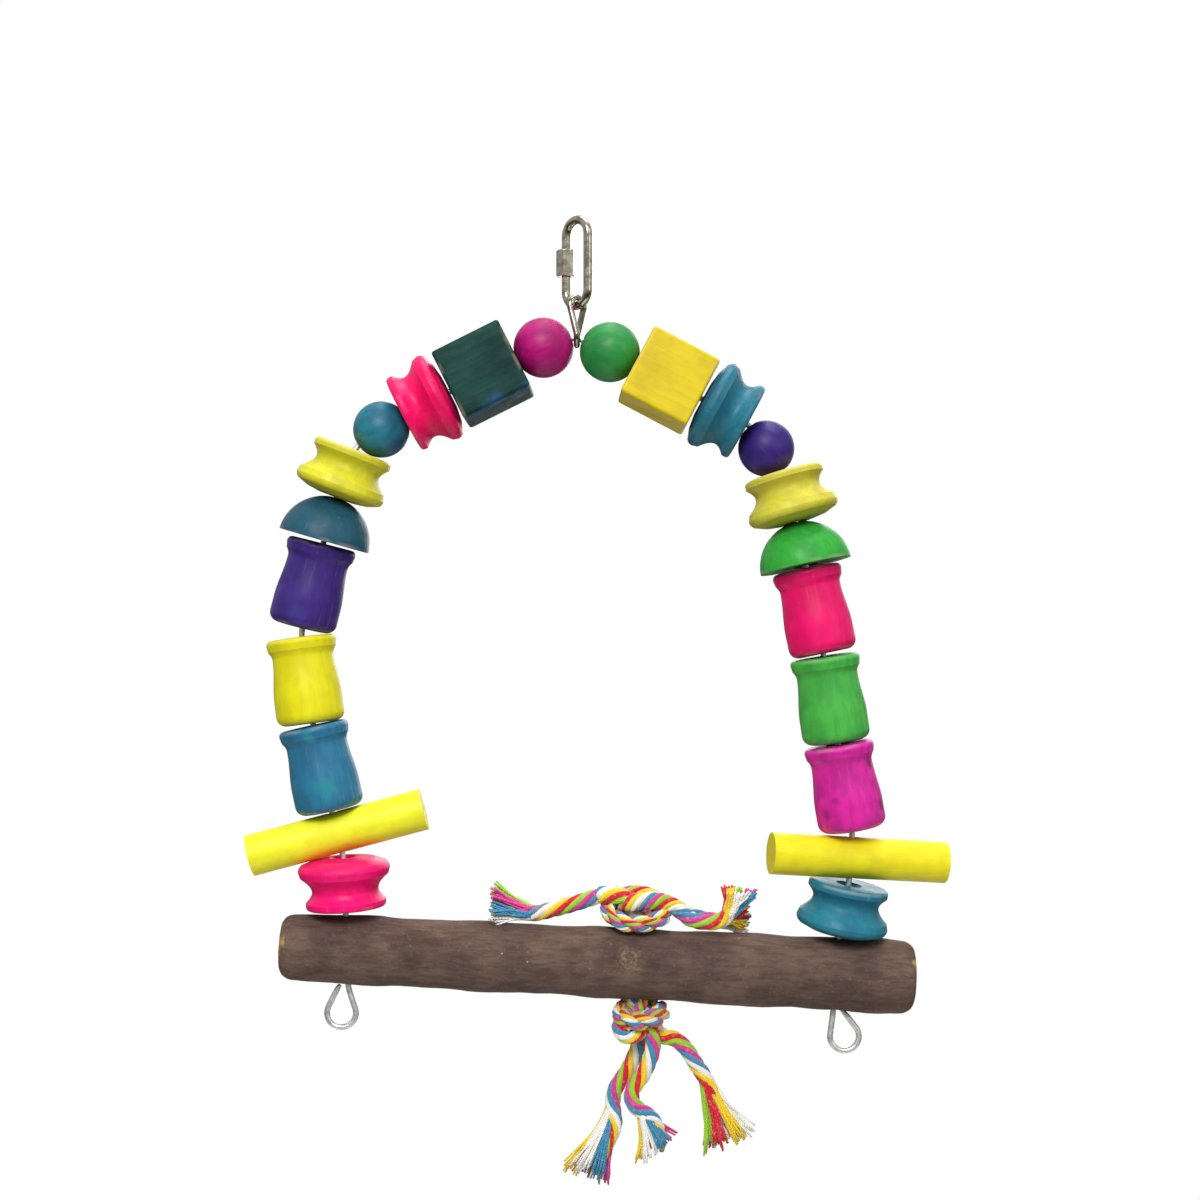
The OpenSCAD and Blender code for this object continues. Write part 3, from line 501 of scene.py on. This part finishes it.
# the turn of the whole rope, the rope that comes up through it, the strand across the front,
# the left tail's strand and one more strand behind
upper.laid(on_branch([(24.8, -3.2, 17.4), (23.4, 2.6, 16.4), (18, 6, 13.6), (11.5, 6.2, 13.9),
                      (7.2, 3.6, 16.4), (6, -1.2, 18.2), (7, -5, 16.6), (10.6, -7, 14.4),
                      (15.5, -7.6, 14), (20.8, -7.2, 14.6), (24.2, -5.4, 16.2), (25.2, -1.8, 17.8)]),
           0.00155, 0.0015, 0.019, start=0.6)
upper.laid(on_branch([(16.3, 1, 10), (15.6, 0.4, 13.5), (13, -0.4, 16.6), (9, -0.6, 18.6)]),
           0.0018, 0.0018, 0.024)
upper.strand(on_branch([(9.6, -2.6, 18.4), (12.2, -4.6, 20), (16, -5.4, 20.9), (20.5, -5.2, 21.1),
                        (25, -4.8, 20.6), (29.2, -5.1, 18.8), (33.2, -6.2, 16)]),
             0.0031, 0.013, start=0.33, order=-1,
             taper=lambda share: min(eased(share / 2), 1.0 - 0.25 * max(0.0, share - 0.6) / 0.4))
upper.strand(on_branch([(1.8, -1.8, 22.4), (5.6, -2.8, 22.9), (9.2, -3.6, 22.6), (12.2, -3.6, 21.6),
                        (14.6, -2.2, 20)]), 0.0031, 0.0185, start=2.06, taper=eased)
upper.strand(on_branch([(10, 0.8, 22.4), (14, 0.4, 23.6), (19, 0, 23.2), (23.5, -0.8, 21.4)]),
             0.0021, 0.0165, start=0.4, taper=eased, order=-1)
upper_knot = upper.piece("upper_knot_rope")
upper_knot.data.materials.append(dyed_cotton)
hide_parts("upper_knot")

# the ring, the rope's stem inside it, and the strand that bulges out below
lower = Skin()
lower.laid(on_branch([(16, 4.6, -15.6), (20.8, 3.8, -16), (23.6, -0.8, -16.8), (21.4, -5.2, -17.9),
                      (16.6, -6.8, -18.7), (12, -5.8, -18.2), (10.3, -1.8, -17.2), (11.8, 2.4, -16.2),
                      (16.2, 4.6, -15.6)]), 0.00175, 0.0017, 0.0163, start=1.0)
lower.laid(on_branch([(15.7, 0, -11), (16.2, 0, -15), (17.4, -0.3, -19.5), (19.2, -0.6, -23.5)]),
           0.0021, 0.0021, 0.024, taper=lambda share: min(1.0, 0.5 + 3 * (1 - share)))
lower.strand(on_branch([(10.6, -0.5, -19), (9.4, -3.4, -21.6), (11.6, -5.4, -24.2), (15.6, -4.8, -23.8),
                        (18.6, -2, -21)]), 0.0024, 0.016, start=0.9, taper=eased)
lower_knot = lower.piece("lower_knot_rope")
lower_knot.data.materials.append(dyed_cotton)
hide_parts("lower_knot")

# the stretch inside the branch
stem = Skin()
stem.laid(on_branch([(15.7, 0, -13), (15.8, 0, -6), (16, 0, 0), (16.2, 0, 6), (16.3, 1, 12)]),
          0.0019, 0.0019, 0.024)
rope_stem = stem.piece("rope_stem")
rope_stem.data.materials.append(dyed_cotton)
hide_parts("rope_core")

# %% [markdown]
# ## The branch
# The perch is a straight piece of a young branch with its bark on, sawn square and rubbed
# round at the ends. It is drawn out ring by ring from a filled circle, so that its
# thickness can change along it, then its surface is roughened by a cloud pattern, and the
# three holes are bored last.

# %% Draw out the branch
low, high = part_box("perch")
TILT = math.radians(2.876)  # down at the right
BRANCH_R = 0.0118
GROWTH = 0.0009  # in the radius, from the left end to the right one
BRANCH_L = (high.x - low.x - 2 * BRANCH_R * math.sin(TILT)) / math.cos(TILT)
STATIONS = 84
END_ROUND = 0.0046  # the sawn ends are rubbed well round, so pale wood shows at their rims
END_STEPS = (0.0002, 0.0006, 0.0012, 0.0020, 0.0030, 0.0041)  # closer rings from each end
branch_rng = random.Random(4)


def deselect_all():
    """Nothing stays selected, so the next operator acts on the new piece alone."""
    if bpy.context.mode != "OBJECT":
        bpy.ops.object.mode_set(mode="OBJECT")
    bpy.ops.object.select_all(action="DESELECT")


def branch_radius(x):
    """Radius at a place along the branch, counted from its middle."""
    turn = 2 * math.pi * x / BRANCH_L
    wave = 0.00026 * math.sin(5 * turn + 0.7) + 0.00012 * math.sin(11.3 * turn + 2)
    end = max(0.0, abs(x) - (BRANCH_L / 2 - END_ROUND)) / END_ROUND
    round_off = END_ROUND * (1 - math.sqrt(max(0.0, 1 - min(1.0, end) ** 2)))
    return BRANCH_R + GROWTH * x / BRANCH_L + wave - round_off * 0.75


deselect_all()
bpy.ops.mesh.primitive_circle_add(vertices=72, radius=branch_radius(-BRANCH_L / 2), fill_type="NGON",
                                  location=(-BRANCH_L / 2, 0, 0), rotation=(0, math.radians(-90), 0))
branch = bpy.context.object
branch.name = "bark_branch"
bpy.ops.object.transform_apply(location=True, rotation=True, scale=True)
places = [BRANCH_L * (-0.5 + k / STATIONS) for k in range(STATIONS + 1)]
places[1:2] = [-BRANCH_L / 2 + d for d in END_STEPS]
places[-2:-1] = [BRANCH_L / 2 - d for d in reversed(END_STEPS)]
bpy.ops.object.mode_set(mode="EDIT")
bpy.ops.mesh.select_all(action="SELECT")
for here, there in zip(places, places[1:]):
    bpy.ops.mesh.extrude_region_move(TRANSFORM_OT_translate={"value": (there - here, 0, 0)})
    share = branch_radius(there) / branch_radius(here)
    bpy.ops.transform.resize(value=(1, share, share), center_override=(there, 0, 0))
bpy.ops.mesh.select_all(action="SELECT")
bpy.ops.mesh.normals_make_consistent(inside=False)
bpy.ops.object.mode_set(mode="OBJECT")
print("branch", round(BRANCH_L * 1000, 1), "mm long,", len(branch.data.polygons), "faces")

# %% [markdown]
# The sawn faces show pale wood. Two insets keep their points close enough for the
# roughening that follows, and the faces at the very ends take the second material.

# %% Mark the sawn faces
bpy.ops.object.mode_set(mode="EDIT")
bpy.ops.mesh.select_all(action="DESELECT")
bpy.ops.object.mode_set(mode="OBJECT")
ends = [p for p in branch.data.polygons if len(p.vertices) > 4]
for p in ends:
    p.select = True
bpy.ops.object.mode_set(mode="EDIT")
bpy.ops.mesh.select_mode(type="FACE")
bpy.ops.mesh.inset(thickness=0.0025, depth=0.0, use_individual=True)
bpy.ops.mesh.inset(thickness=0.0030, depth=0.0, use_individual=True)
bpy.ops.object.mode_set(mode="OBJECT")
for p in branch.data.polygons:
    if abs(p.center.x) > BRANCH_L / 2 - 0.0003:
        p.material_index = 1
print(sum(p.material_index for p in branch.data.polygons), "sawn faces")

# %% [markdown]
# An old knot of the branch shows at the front as a low swelling with a dimple, and small
# dents and ridges run along the bark. The points are moved in or out by a sum of smooth
# bumps, which a brush would do by hand.

# %% Shape the bark
SCAR_X, SCAR_TURN = 0.0108, 1.30  # place from the branch's middle, angle from the top towards the front
SCAR_LONG, SCAR_BROAD, SCAR_H = 0.0062, 0.0048, 0.0007
# place, angle, length, breadth in radians and height of each dent or ridge
dents = [(branch_rng.uniform(-0.5, 0.5) * BRANCH_L, branch_rng.uniform(-math.pi, math.pi),
          branch_rng.uniform(0.006, 0.016), branch_rng.uniform(0.25, 0.6),
          branch_rng.uniform(-0.00035, 0.0003)) for _ in range(60)]
for v in branch.data.vertices:
    r = math.hypot(v.co.y, v.co.z)
    if r < 0.006:
        continue
    angle = math.atan2(-v.co.y, v.co.z)
    out = 0.0
    for x, a, long, broad, depth in dents:
        off = (angle - a + math.pi) % (2 * math.pi) - math.pi
        out += depth * math.exp(-((v.co.x - x) / long) ** 2 - (off / broad) ** 2)
    off = (angle - SCAR_TURN + math.pi) % (2 * math.pi) - math.pi
    d = math.hypot((v.co.x - SCAR_X) / SCAR_LONG, off * BRANCH_R / SCAR_BROAD)
    out += SCAR_H * math.exp(-d * d) - SCAR_H * math.exp(-d * d * 7)
    fade = min(1.0, (BRANCH_L / 2 - abs(v.co.x)) / 0.004)
    v.co.y += v.co.y / r * out * fade
    v.co.z += v.co.z / r * out * fade
rough = branch.modifiers.new("rough_bark", "DISPLACE")
clouds = bpy.data.textures.new("bark_clouds", "CLOUDS")
clouds.noise_scale = 0.0035
clouds.noise_depth = 3
rough.texture = clouds
rough.strength = 0.00035
rough.mid_level = 0.5
deselect_all()
branch.select_set(True)
bpy.context.view_layer.objects.active = branch
bpy.ops.object.modifier_apply(modifier=rough.name)
print(len(dents), "dents and ridges")

# %% [markdown]
# The holes are bored with round cutters: two for the wire, each with a countersink below,
# and a wider one for the rope. The branch is then laid in its place, a little down at the
# right.

# %% Bore the holes and lay the branch in place
SHIFT = 0.00225  # the branch's middle lies this far right of half-way between the feet
HEARTWOOD = HEART + Matrix.Rotation(TILT, 3, "Y") @ Vector((SHIFT, 0, 0))  # the branch's middle
WIRE_HOLE_D, ROPE_HOLE_D = 0.0041, 0.0092
SINK_R, SINK_H, SINK_Z = 0.0045, 0.003, -0.01097
CUTTER_L = 0.05  # well over the branch's thickness
HOLES = [(-0.08314, WIRE_HOLE_D), (0.08314, WIRE_HOLE_D), (0.0165, ROPE_HOLE_D)]  # place, diameter


def cut_out(cutter):
    """Take one cutter's shape out of the branch, and throw the cutter away."""
    bore = branch.modifiers.new("bore", "BOOLEAN")
    bore.operation, bore.solver, bore.object = "DIFFERENCE", "EXACT", cutter
    bpy.context.view_layer.objects.active = branch
    bpy.ops.object.modifier_apply(modifier=bore.name)
    bpy.data.objects.remove(cutter)


for x, d in HOLES:
    deselect_all()
    if d == WIRE_HOLE_D:
        bpy.ops.mesh.primitive_cone_add(vertices=40, radius1=SINK_R, radius2=d / 2, depth=SINK_H,
                                        location=(x - SHIFT, 0, SINK_Z))
        cut_out(bpy.context.object)
    bpy.ops.mesh.primitive_cylinder_add(vertices=40, radius=d / 2, depth=CUTTER_L,
                                        location=(x - SHIFT, 0, 0))
    cut_out(bpy.context.object)
deselect_all()
branch.select_set(True)
bpy.context.view_layer.objects.active = branch
bpy.ops.object.shade_smooth_by_angle(angle=math.radians(40))
branch.location = HEARTWOOD
branch.rotation_euler = (0, TILT, 0)
bpy.ops.object.transform_apply(location=True, rotation=True, scale=True)
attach(branch, "swing_frame")
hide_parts("perch")
print("bored", len(HOLES), "holes")

# %% [markdown]
# ### Bark and sawn wood
# The bark is that of a young hardwood: brown-grey, matt, with long fine streaks along the
# branch, scattered rust and grey flecks of about a millimetre, pale wood where a rim was
# rubbed, and one old knot. The sawn wood is pale, with a dark pith a little off its middle
# and uneven year rings about a millimetre apart.

# %% Finish the branch


def branch_place(tree):
    """Places on the branch: X along it, and the middle line at zero."""
    spot = add(tree, "TexCoord").outputs["Object"]
    return add(tree, "Mapping", {"Vector": spot, "Location": HEARTWOOD, "Rotation": (0, TILT, 0)},
               vector_type="TEXTURE").outputs[0]


bark, tree, shader = finish_of("young_bark", 0.8)
spot = branch_place(tree)
drawn = add(tree, "Mapping", {"Vector": spot, "Scale": (0.22, 1, 1)}).outputs[0]
streaks = add(tree, "TexNoise", {"Vector": drawn, "Scale": 620.0, "Detail": 7.0,
                                 "Roughness": 0.68}).outputs[0]
flecks = add(tree, "TexNoise", {"Vector": spot, "Scale": 700.0, "Detail": 6.0,
                                "Roughness": 0.75}).outputs[0]
blotches = add(tree, "TexNoise", {"Vector": drawn, "Scale": 230.0, "Detail": 4.0}).outputs[0]
clouds_wide = add(tree, "TexNoise", {"Vector": spot, "Scale": 75.0, "Detail": 3.0}).outputs[0]
dots = add(tree, "TexVoronoi", {"Vector": spot, "Scale": 170.0}).outputs["Distance"]
shade = between(tree, spread(tree, clouds_wide, 0.35, 0.65), "755f53", "5f4b44")
shade = between(tree, spread(tree, blotches, 0.45, 0.68, 0.0, 0.35), shade, "44352f")
shade = between(tree, spread(tree, streaks, 0.42, 0.62, 0.0, 0.42), shade, "3a2d2b")
shade = between(tree, spread(tree, flecks, 0.53, 0.72, 0.0, 0.42), shade, "94786a")
shade = between(tree, spread(tree, flecks, 0.42, 0.30, 0.0, 0.5), shade, "5f5c46")
shade = between(tree, spread(tree, dots, 0.09, 0.03, 0.0, 0.3), shade, "a08468")
# the old knot shows as broken paler folds round its middle
half, thick = BRANCH_L * 500, BRANCH_R * 1000  # of the branch, in millimetres
scar_at = (SCAR_X * 1000, -thick * math.sin(SCAR_TURN), thick * math.cos(SCAR_TURN))
warp = add(tree, "TexNoise", {"Vector": spot, "Scale": 330.0, "Detail": 4.0}).outputs[0]
uneven = add(tree, "Math", {0: warp, 1: 0.008, 2: distance(tree, spot, scar_at)},
             operation="MULTIPLY_ADD").outputs[0]
folds = add(tree, "Math", {0: times(tree, uneven, 2300.0)}, operation="SINE").outputs[0]
folds = times(tree, spread(tree, folds, -1.0, 1.0, 0.25, 1.0),
              spread(tree, uneven, 0.0100, 0.0062, 0.0, 0.62))
shade = between(tree, times(tree, folds, spread(tree, flecks, 0.40, 0.58, 0.2, 1.0)), shade, "9c8668")
# rubbed rims, a chip, and two specks
rim = add(tree, "Math", {0: add(tree, "SeparateXYZ", {0: spot}).outputs[0]}, operation="ABSOLUTE").outputs[0]
rim = spread(tree, rim, BRANCH_L / 2 - 0.0026, BRANCH_L / 2 - 0.0018)
for place, radius, code, strength, on_rim in (
        ((-half, -10.6, 2.4), 4.2, "c39a5e", 0.95, True), ((half, -8.8, 6.2), 2.6, "c39a5e", 0.95, True),
        ((47.1, -4.8, 10.9), 0.9, "b98a48", 0.8, False), ((-31.9, -11.4, 3.2), 0.45, "e8dcae", 0.9, False),
        ((-23.2, -11.8, 0.9), 0.45, "e8dcae", 0.9, False)):
    reach = patch(tree, spot, warp, place, radius, strength)
    shade = between(tree, times(tree, reach, rim) if on_rim else reach, shade, code)
tree.links.new(shade, shader.inputs["Base Color"])
height = add(tree, "Math", {0: streaks, 1: flecks}, operation="ADD").outputs[0]
bumped(tree, shader, height, 0.0005, 0.8)
branch.data.materials.append(bark)

sawn_wood, tree, shader = finish_of("sawn_hardwood", 0.7)
spot = branch_place(tree)
pith = add(tree, "Mapping", {"Vector": spot, "Location": (0.0, 0.0014, -0.0011)}).outputs[0]
rings = add(tree, "TexWave", {"Vector": pith, "Scale": 360.0, "Distortion": 3.0, "Detail": 3.0,
                              "Detail Scale": 0.9, "Detail Roughness": 0.6},
            wave_type="RINGS", rings_direction="X").outputs["Fac"]
pores = add(tree, "TexNoise", {"Vector": spot, "Scale": 2400.0, "Detail": 2.0}).outputs[0]
tint = add(tree, "TexNoise", {"Vector": spot, "Scale": 260.0, "Detail": 3.0}).outputs[0]
middle = add(tree, "VectorMath", {0: pith, 1: (1.0, 0.0, 0.0)}, operation="CROSS_PRODUCT").outputs[0]
middle = add(tree, "VectorMath", {0: middle}, operation="LENGTH").outputs["Value"]
shade = between(tree, spread(tree, tint, 0.35, 0.65), "ccae82", "b8925f")
shade = between(tree, spread(tree, rings, 0.45, 0.95, 0.0, 0.5), shade, "96714a")
shade = between(tree, spread(tree, pores, 0.5, 0.75, 0.0, 0.5), shade, "7a5a3a")
shade = between(tree, spread(tree, middle, 0.0009, 0.0005, 0.0, 0.7), shade, "6e4c30")
shade = between(tree, spread(tree, middle, 0.0088, 0.0100, 0.0, 0.6), shade, "8a6a48")
tree.links.new(shade, shader.inputs["Base Color"])
bumped(tree, shader, pores, 0.0002, 0.6)
branch.data.materials.append(sawn_wood)
print("bark and sawn wood done")

# %% [markdown]
# ## The beads
# Each bead is turned or sawn softwood, soaked in food dye and left without varnish, so it
# is matt to silky, and its grain shows through: long streaks along the fibres, year rings
# across them, and darker ends, where the open pores drink more dye. The pattern has to sit
# in the bead as it would in the wood, so each bead's material is turned to that bead's own
# axis, which the frame's joints give.

# %% Recipe for dyed wood
SILKY_GLEAM = 0.33  # turned softwood is silky along its grain
TREE_HEART = (0.013, 0.008, 0.0)  # where the tree's middle would be, from the bead's own
FRONT = Vector((0, -1, 0))


def dyed_wood(name, hinge, base, deep, half, along, stains, gleam):
    """A material for one bead, along its joint's axis. half is half its length, or 0 if no edge is worn."""
    made, tree, shader = finish_of(name, 0.5, gleam=gleam)
    up = Vector(hinge["axis"]).normalized()
    side = up.cross(FRONT).normalized() * -1
    turn = Matrix((side, up.cross(side), up)).transposed().to_euler()
    spot = add(tree, "TexCoord")
    own = add(tree, "Mapping", {"Vector": spot.outputs["Object"], "Location": hinge["pos_m"],
                                "Rotation": turn}, vector_type="TEXTURE").outputs[0]
    facing = add(tree, "Mapping", {"Vector": spot.outputs["Normal"], "Rotation": turn},
                 vector_type="TEXTURE").outputs[0]
    long = (0.07, 1, 1) if along == "X" else (1, 1, 0.07)
    drawn = add(tree, "Mapping", {"Vector": own, "Scale": long}).outputs[0]
    fibres = add(tree, "TexNoise", {"Vector": drawn, "Scale": 800.0, "Detail": 6.0,
                                    "Roughness": 0.66}).outputs[0]
    shifted = add(tree, "Mapping", {"Vector": own, "Location": TREE_HEART}).outputs[0]
    rings = add(tree, "TexWave", {"Vector": shifted, "Scale": 125.0, "Distortion": 3.2, "Detail": 2.5,
                                  "Detail Scale": 1.2},
                wave_type="RINGS", rings_direction=along).outputs["Fac"]
    cloud = add(tree, "TexNoise", {"Vector": own, "Scale": 120.0, "Detail": 3.0}).outputs[0]
    shade = between(tree, spread(tree, cloud, 0.38, 0.68, 0.0, 0.5), base, deep)
    shade = between(tree, spread(tree, fibres, 0.5, 0.72, 0.0, 0.38), shade, deep)
    shade = between(tree, spread(tree, rings, 0.5, 0.95, 0.0, 0.16), shade, deep)
    shade = between(tree, spread(tree, fibres, 0.42, 0.25, 0.0, 0.05), shade, "fff3d6")
    parts = add(tree, "SeparateXYZ", {0: facing})
    end = add(tree, "Math", {0: parts.outputs[along]}, operation="ABSOLUTE").outputs[0]
    shade = between(tree, spread(tree, end, 0.7, 0.97, 0.0, 0.38), shade, deep)
    if half:  # the dye is worn off the edges here and there
        level = add(tree, "SeparateXYZ", {0: own}).outputs[2]
        level = add(tree, "Math", {0: level}, operation="ABSOLUTE").outputs[0]
        worn = spread(tree, level, half - 0.0016, half - 0.0006)
        edge = times(tree, worn, spread(tree, cloud, 0.45, 0.62, 0.0, 0.14))
        edge = times(tree, edge, spread(tree, end, 0.97, 0.85))
        shade = between(tree, edge, shade, "f3e3bd")
    for place, radius, code, strength in stains:
        reach = patch(tree, spot.outputs["Object"], cloud, place, radius, strength)
        shade = between(tree, reach, shade, code)
    tree.links.new(shade, shader.inputs["Base Color"])
    tree.links.new(spread(tree, cloud, 0.3, 0.7, 0.36, 0.50), shader.inputs["Roughness"])
    height = add(tree, "Math", {0: rings, 1: 0.4, 2: fibres}, operation="MULTIPLY_ADD").outputs[0]
    bumped(tree, shader, height, 0.00012, 0.6)
    return made


print("dyed wood recipe ready")

# %% [markdown]
# Each bead has a general colour, fitted so that the middle of the bead comes out as in the
# photograph, and a deeper one for its soaked places, scaled with it. Stains are places where
# another dye ran in, or where the wood is scratched or bare: each has a place and a radius in
# millimetres, a colour and a strength.

# %% Dye the beads
# length of each kind in millimetres; balls and dowels have no worn edge, so they have none
LENGTHS = {"ball": 0, "small_ball": 0, "cube": 24.8, "upper_spool": 17.2, "middle_spool": 17.2,
           "half_ball": 15.2, "top_cup": 29.2, "middle_cup": 29.2, "bottom_cup": 29.2, "dowel": 0,
           "foot_spool": 17.2}
DYES = {
    "left_ball": ("b51073", "720648", []),
    "left_cube": ("093d37", "04211f", [((-33, -9, -69.5), 8, "2d5f9c", 0.8),
                                       ((-24, -9, -65), 8, "2d5f9c", 0.8),
                                       ((-15.5, -9, -60), 8, "2d5f9c", 0.8)]),
    "left_upper_spool": ("f60564", "c5034c", []),
    "left_small_ball": ("24778a", "154362", [((-60, -6, -76), 5, "22285c", 0.8)]),
    "left_middle_spool": ("d8d42a", "b8b01e", []),
    "left_half_ball": ("1f5568", "123c4d", []),
    "left_top_cup": ("3f287f", "28185a", [((-93, -11, -131), 3, "2b5a9a", 0.15)]),
    "left_middle_cup": ("e7e014", "d1c30d", [((-88.2, -10, -145), 0.9, "96602c", 0.9),
                                             ((-87.2, -10, -146.2), 1.0, "96602c", 0.9),
                                             ((-86, -9.6, -147.6), 0.8, "96602c", 0.9),
                                             ((-93, -10.5, -138.6), 0.8, "7d5030", 0.8)]),
    "left_bottom_cup": ("2c799b", "20587d", [((-88.6, -10, -172.7), 3.5, "3aa08c", 0.5),
                                             ((-83.5, -10, -189.6), 4, "2f9a92", 0.45)]),
    "left_dowel": ("f9f832", "e3dd20", [((-75.8, -5.3, -210.3), 3, "ee9a78", 0.55)]),
    "left_foot_spool": ("ff0576", "d4045b", []),
    "right_ball": ("2d8e43", "196a31", []),
    "right_cube": ("dbc401", "c0a401", [((25.7, -12.6, -51), 0.6, "6a5228", 0.9)]),
    "right_upper_spool": ("287387", "18536f", [((49.5, -9, -80.5), 1.8, "e6e6e2", 0.8)]),
    "right_small_ball": ("39247b", "211153", []),
    "right_middle_spool": ("d2cb40", "b5aa2f", [((80.4, -10, -91.6), 3.5, "b8964a", 0.55),
                                                ((57.5, -9, -97), 3, "c08c48", 0.5)]),
    "right_half_ball": ("31a937", "217932", []),
    "right_top_cup": ("ee076b", "c90351", []),
    "right_middle_cup": ("4bb547", "2f8a3a", []),
    "right_bottom_cup": ("df26a0", "9c1477", [((99.2, -7.1, -181.1), 3, "3c0c38", 0.85),
                                              ((101, -4.5, -195.5), 3.5, "5c1050", 0.75),
                                              ((83.1, -8.1, -199.2), 2.6, "5c1050", 0.6),
                                              ((86.2, -10.1, -194), 2, "701a66", 0.5)]),
    "right_dowel": ("f3e621", "d7c715", []),
    "right_foot_spool": ("237f92", "18597c", [((80.4, -11, -226.8), 4, "1d4f92", 0.7)]),
}
GLEAMS = {"left_cube": 0.12}  # soaked so dark and matt that it hardly gleams
hinges = {j["name"]: j for j in frame["joints"]}
for name, (base, deep, stains) in DYES.items():
    kind = name.split("_", 1)[1]
    dyed = dyed_wood("dyed_wood_" + name, hinges[name + "_spin"], base, deep, LENGTHS[kind] / 2000,
                     "X" if kind == "dowel" else "Z", stains, GLEAMS.get(name, SILKY_GLEAM))
    solid = frame["nodes"][name]
    solid.data.materials.clear()
    solid.data.materials.append(dyed)
print("dyed", len(DYES), "beads")

# %% [markdown]
# ## The wire
# The arch, its feet and its two toy loops are one piece of stiff wire, bent by hand round
# a peg. The solid has the right bends but twelve flat sides. A copy of it is merged, its
# triangles are joined into four-sided faces, and one subdivision makes it round.

# %% Round the wire
deselect_all()
wire = frame["nodes"]["arch_wire"].copy()
wire.data = frame["nodes"]["arch_wire"].data.copy()
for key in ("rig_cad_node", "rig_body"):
    if key in wire:
        del wire[key]
wire.parent = None
wire.name = "bent_wire"
bpy.context.scene.collection.objects.link(wire)
wire.select_set(True)
bpy.context.view_layer.objects.active = wire
bpy.ops.object.mode_set(mode="EDIT")
bpy.ops.mesh.select_all(action="SELECT")
bpy.ops.mesh.remove_doubles(threshold=0.000002)
bpy.ops.mesh.tris_convert_to_quads(face_threshold=math.radians(60), shape_threshold=math.radians(60))
bpy.ops.object.mode_set(mode="OBJECT")
rounder = wire.modifiers.new("round", "SUBSURF")
rounder.levels = rounder.render_levels = 1
bpy.ops.object.modifier_apply(modifier=rounder.name)
bpy.ops.object.shade_smooth_by_angle(angle=math.radians(50))
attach(wire, "swing_frame")
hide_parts("arch_wire")
print("wire faces", len(wire.data.polygons))

# %% [markdown]
# ## The metal
# The arch and its toy loops are hot-galvanised steel wire, silver grey with a faint mottle
# of zinc. The chain link and the screw-lock link are steel with a bright nickel plating,
# which is warmer and darker than zinc and has fine polishing marks.

# %% Finish the metal


def plated(name, code, dull, roughness, depth):
    """Plated steel with a mottle of a few millimetres and marks finer than a millimetre."""
    made, tree, shader = finish_of(name, roughness, metallic=1.0)
    spot = add(tree, "TexCoord").outputs["Object"]
    mottle = add(tree, "TexNoise", {"Vector": spot, "Scale": 420.0, "Detail": 3.0}).outputs[0]
    marks = add(tree, "TexNoise", {"Vector": spot, "Scale": 2600.0, "Detail": 3.0}).outputs[0]
    tree.links.new(between(tree, spread(tree, mottle, 0.35, 0.7), code, dull), shader.inputs["Base Color"])
    uneven = spread(tree, marks, 0.3, 0.75, roughness * 0.75, roughness * 1.35)
    tree.links.new(uneven, shader.inputs["Roughness"])
    bumped(tree, shader, marks, depth, 0.5)
    return made


wire.data.materials.clear()
wire.data.materials.append(plated("galvanised_wire", "f0f0ee", "d4d5d6", 0.48, 0.00003))
for finish, nodes in (
        (plated("nickel_plated_link", "bcb6a9", "7c766c", 0.20, 0.00002), ["chain_link"]),
        (plated("nickel_plated_steel", "ccc6b4", "968f80", 0.16, 0.00002),
         ["quick_link_body", "quick_link_nut"])):
    for name in nodes:
        solid = frame["nodes"][name]
        solid.data.materials.clear()
        solid.data.materials.append(finish)
    print(finish.name, nodes)
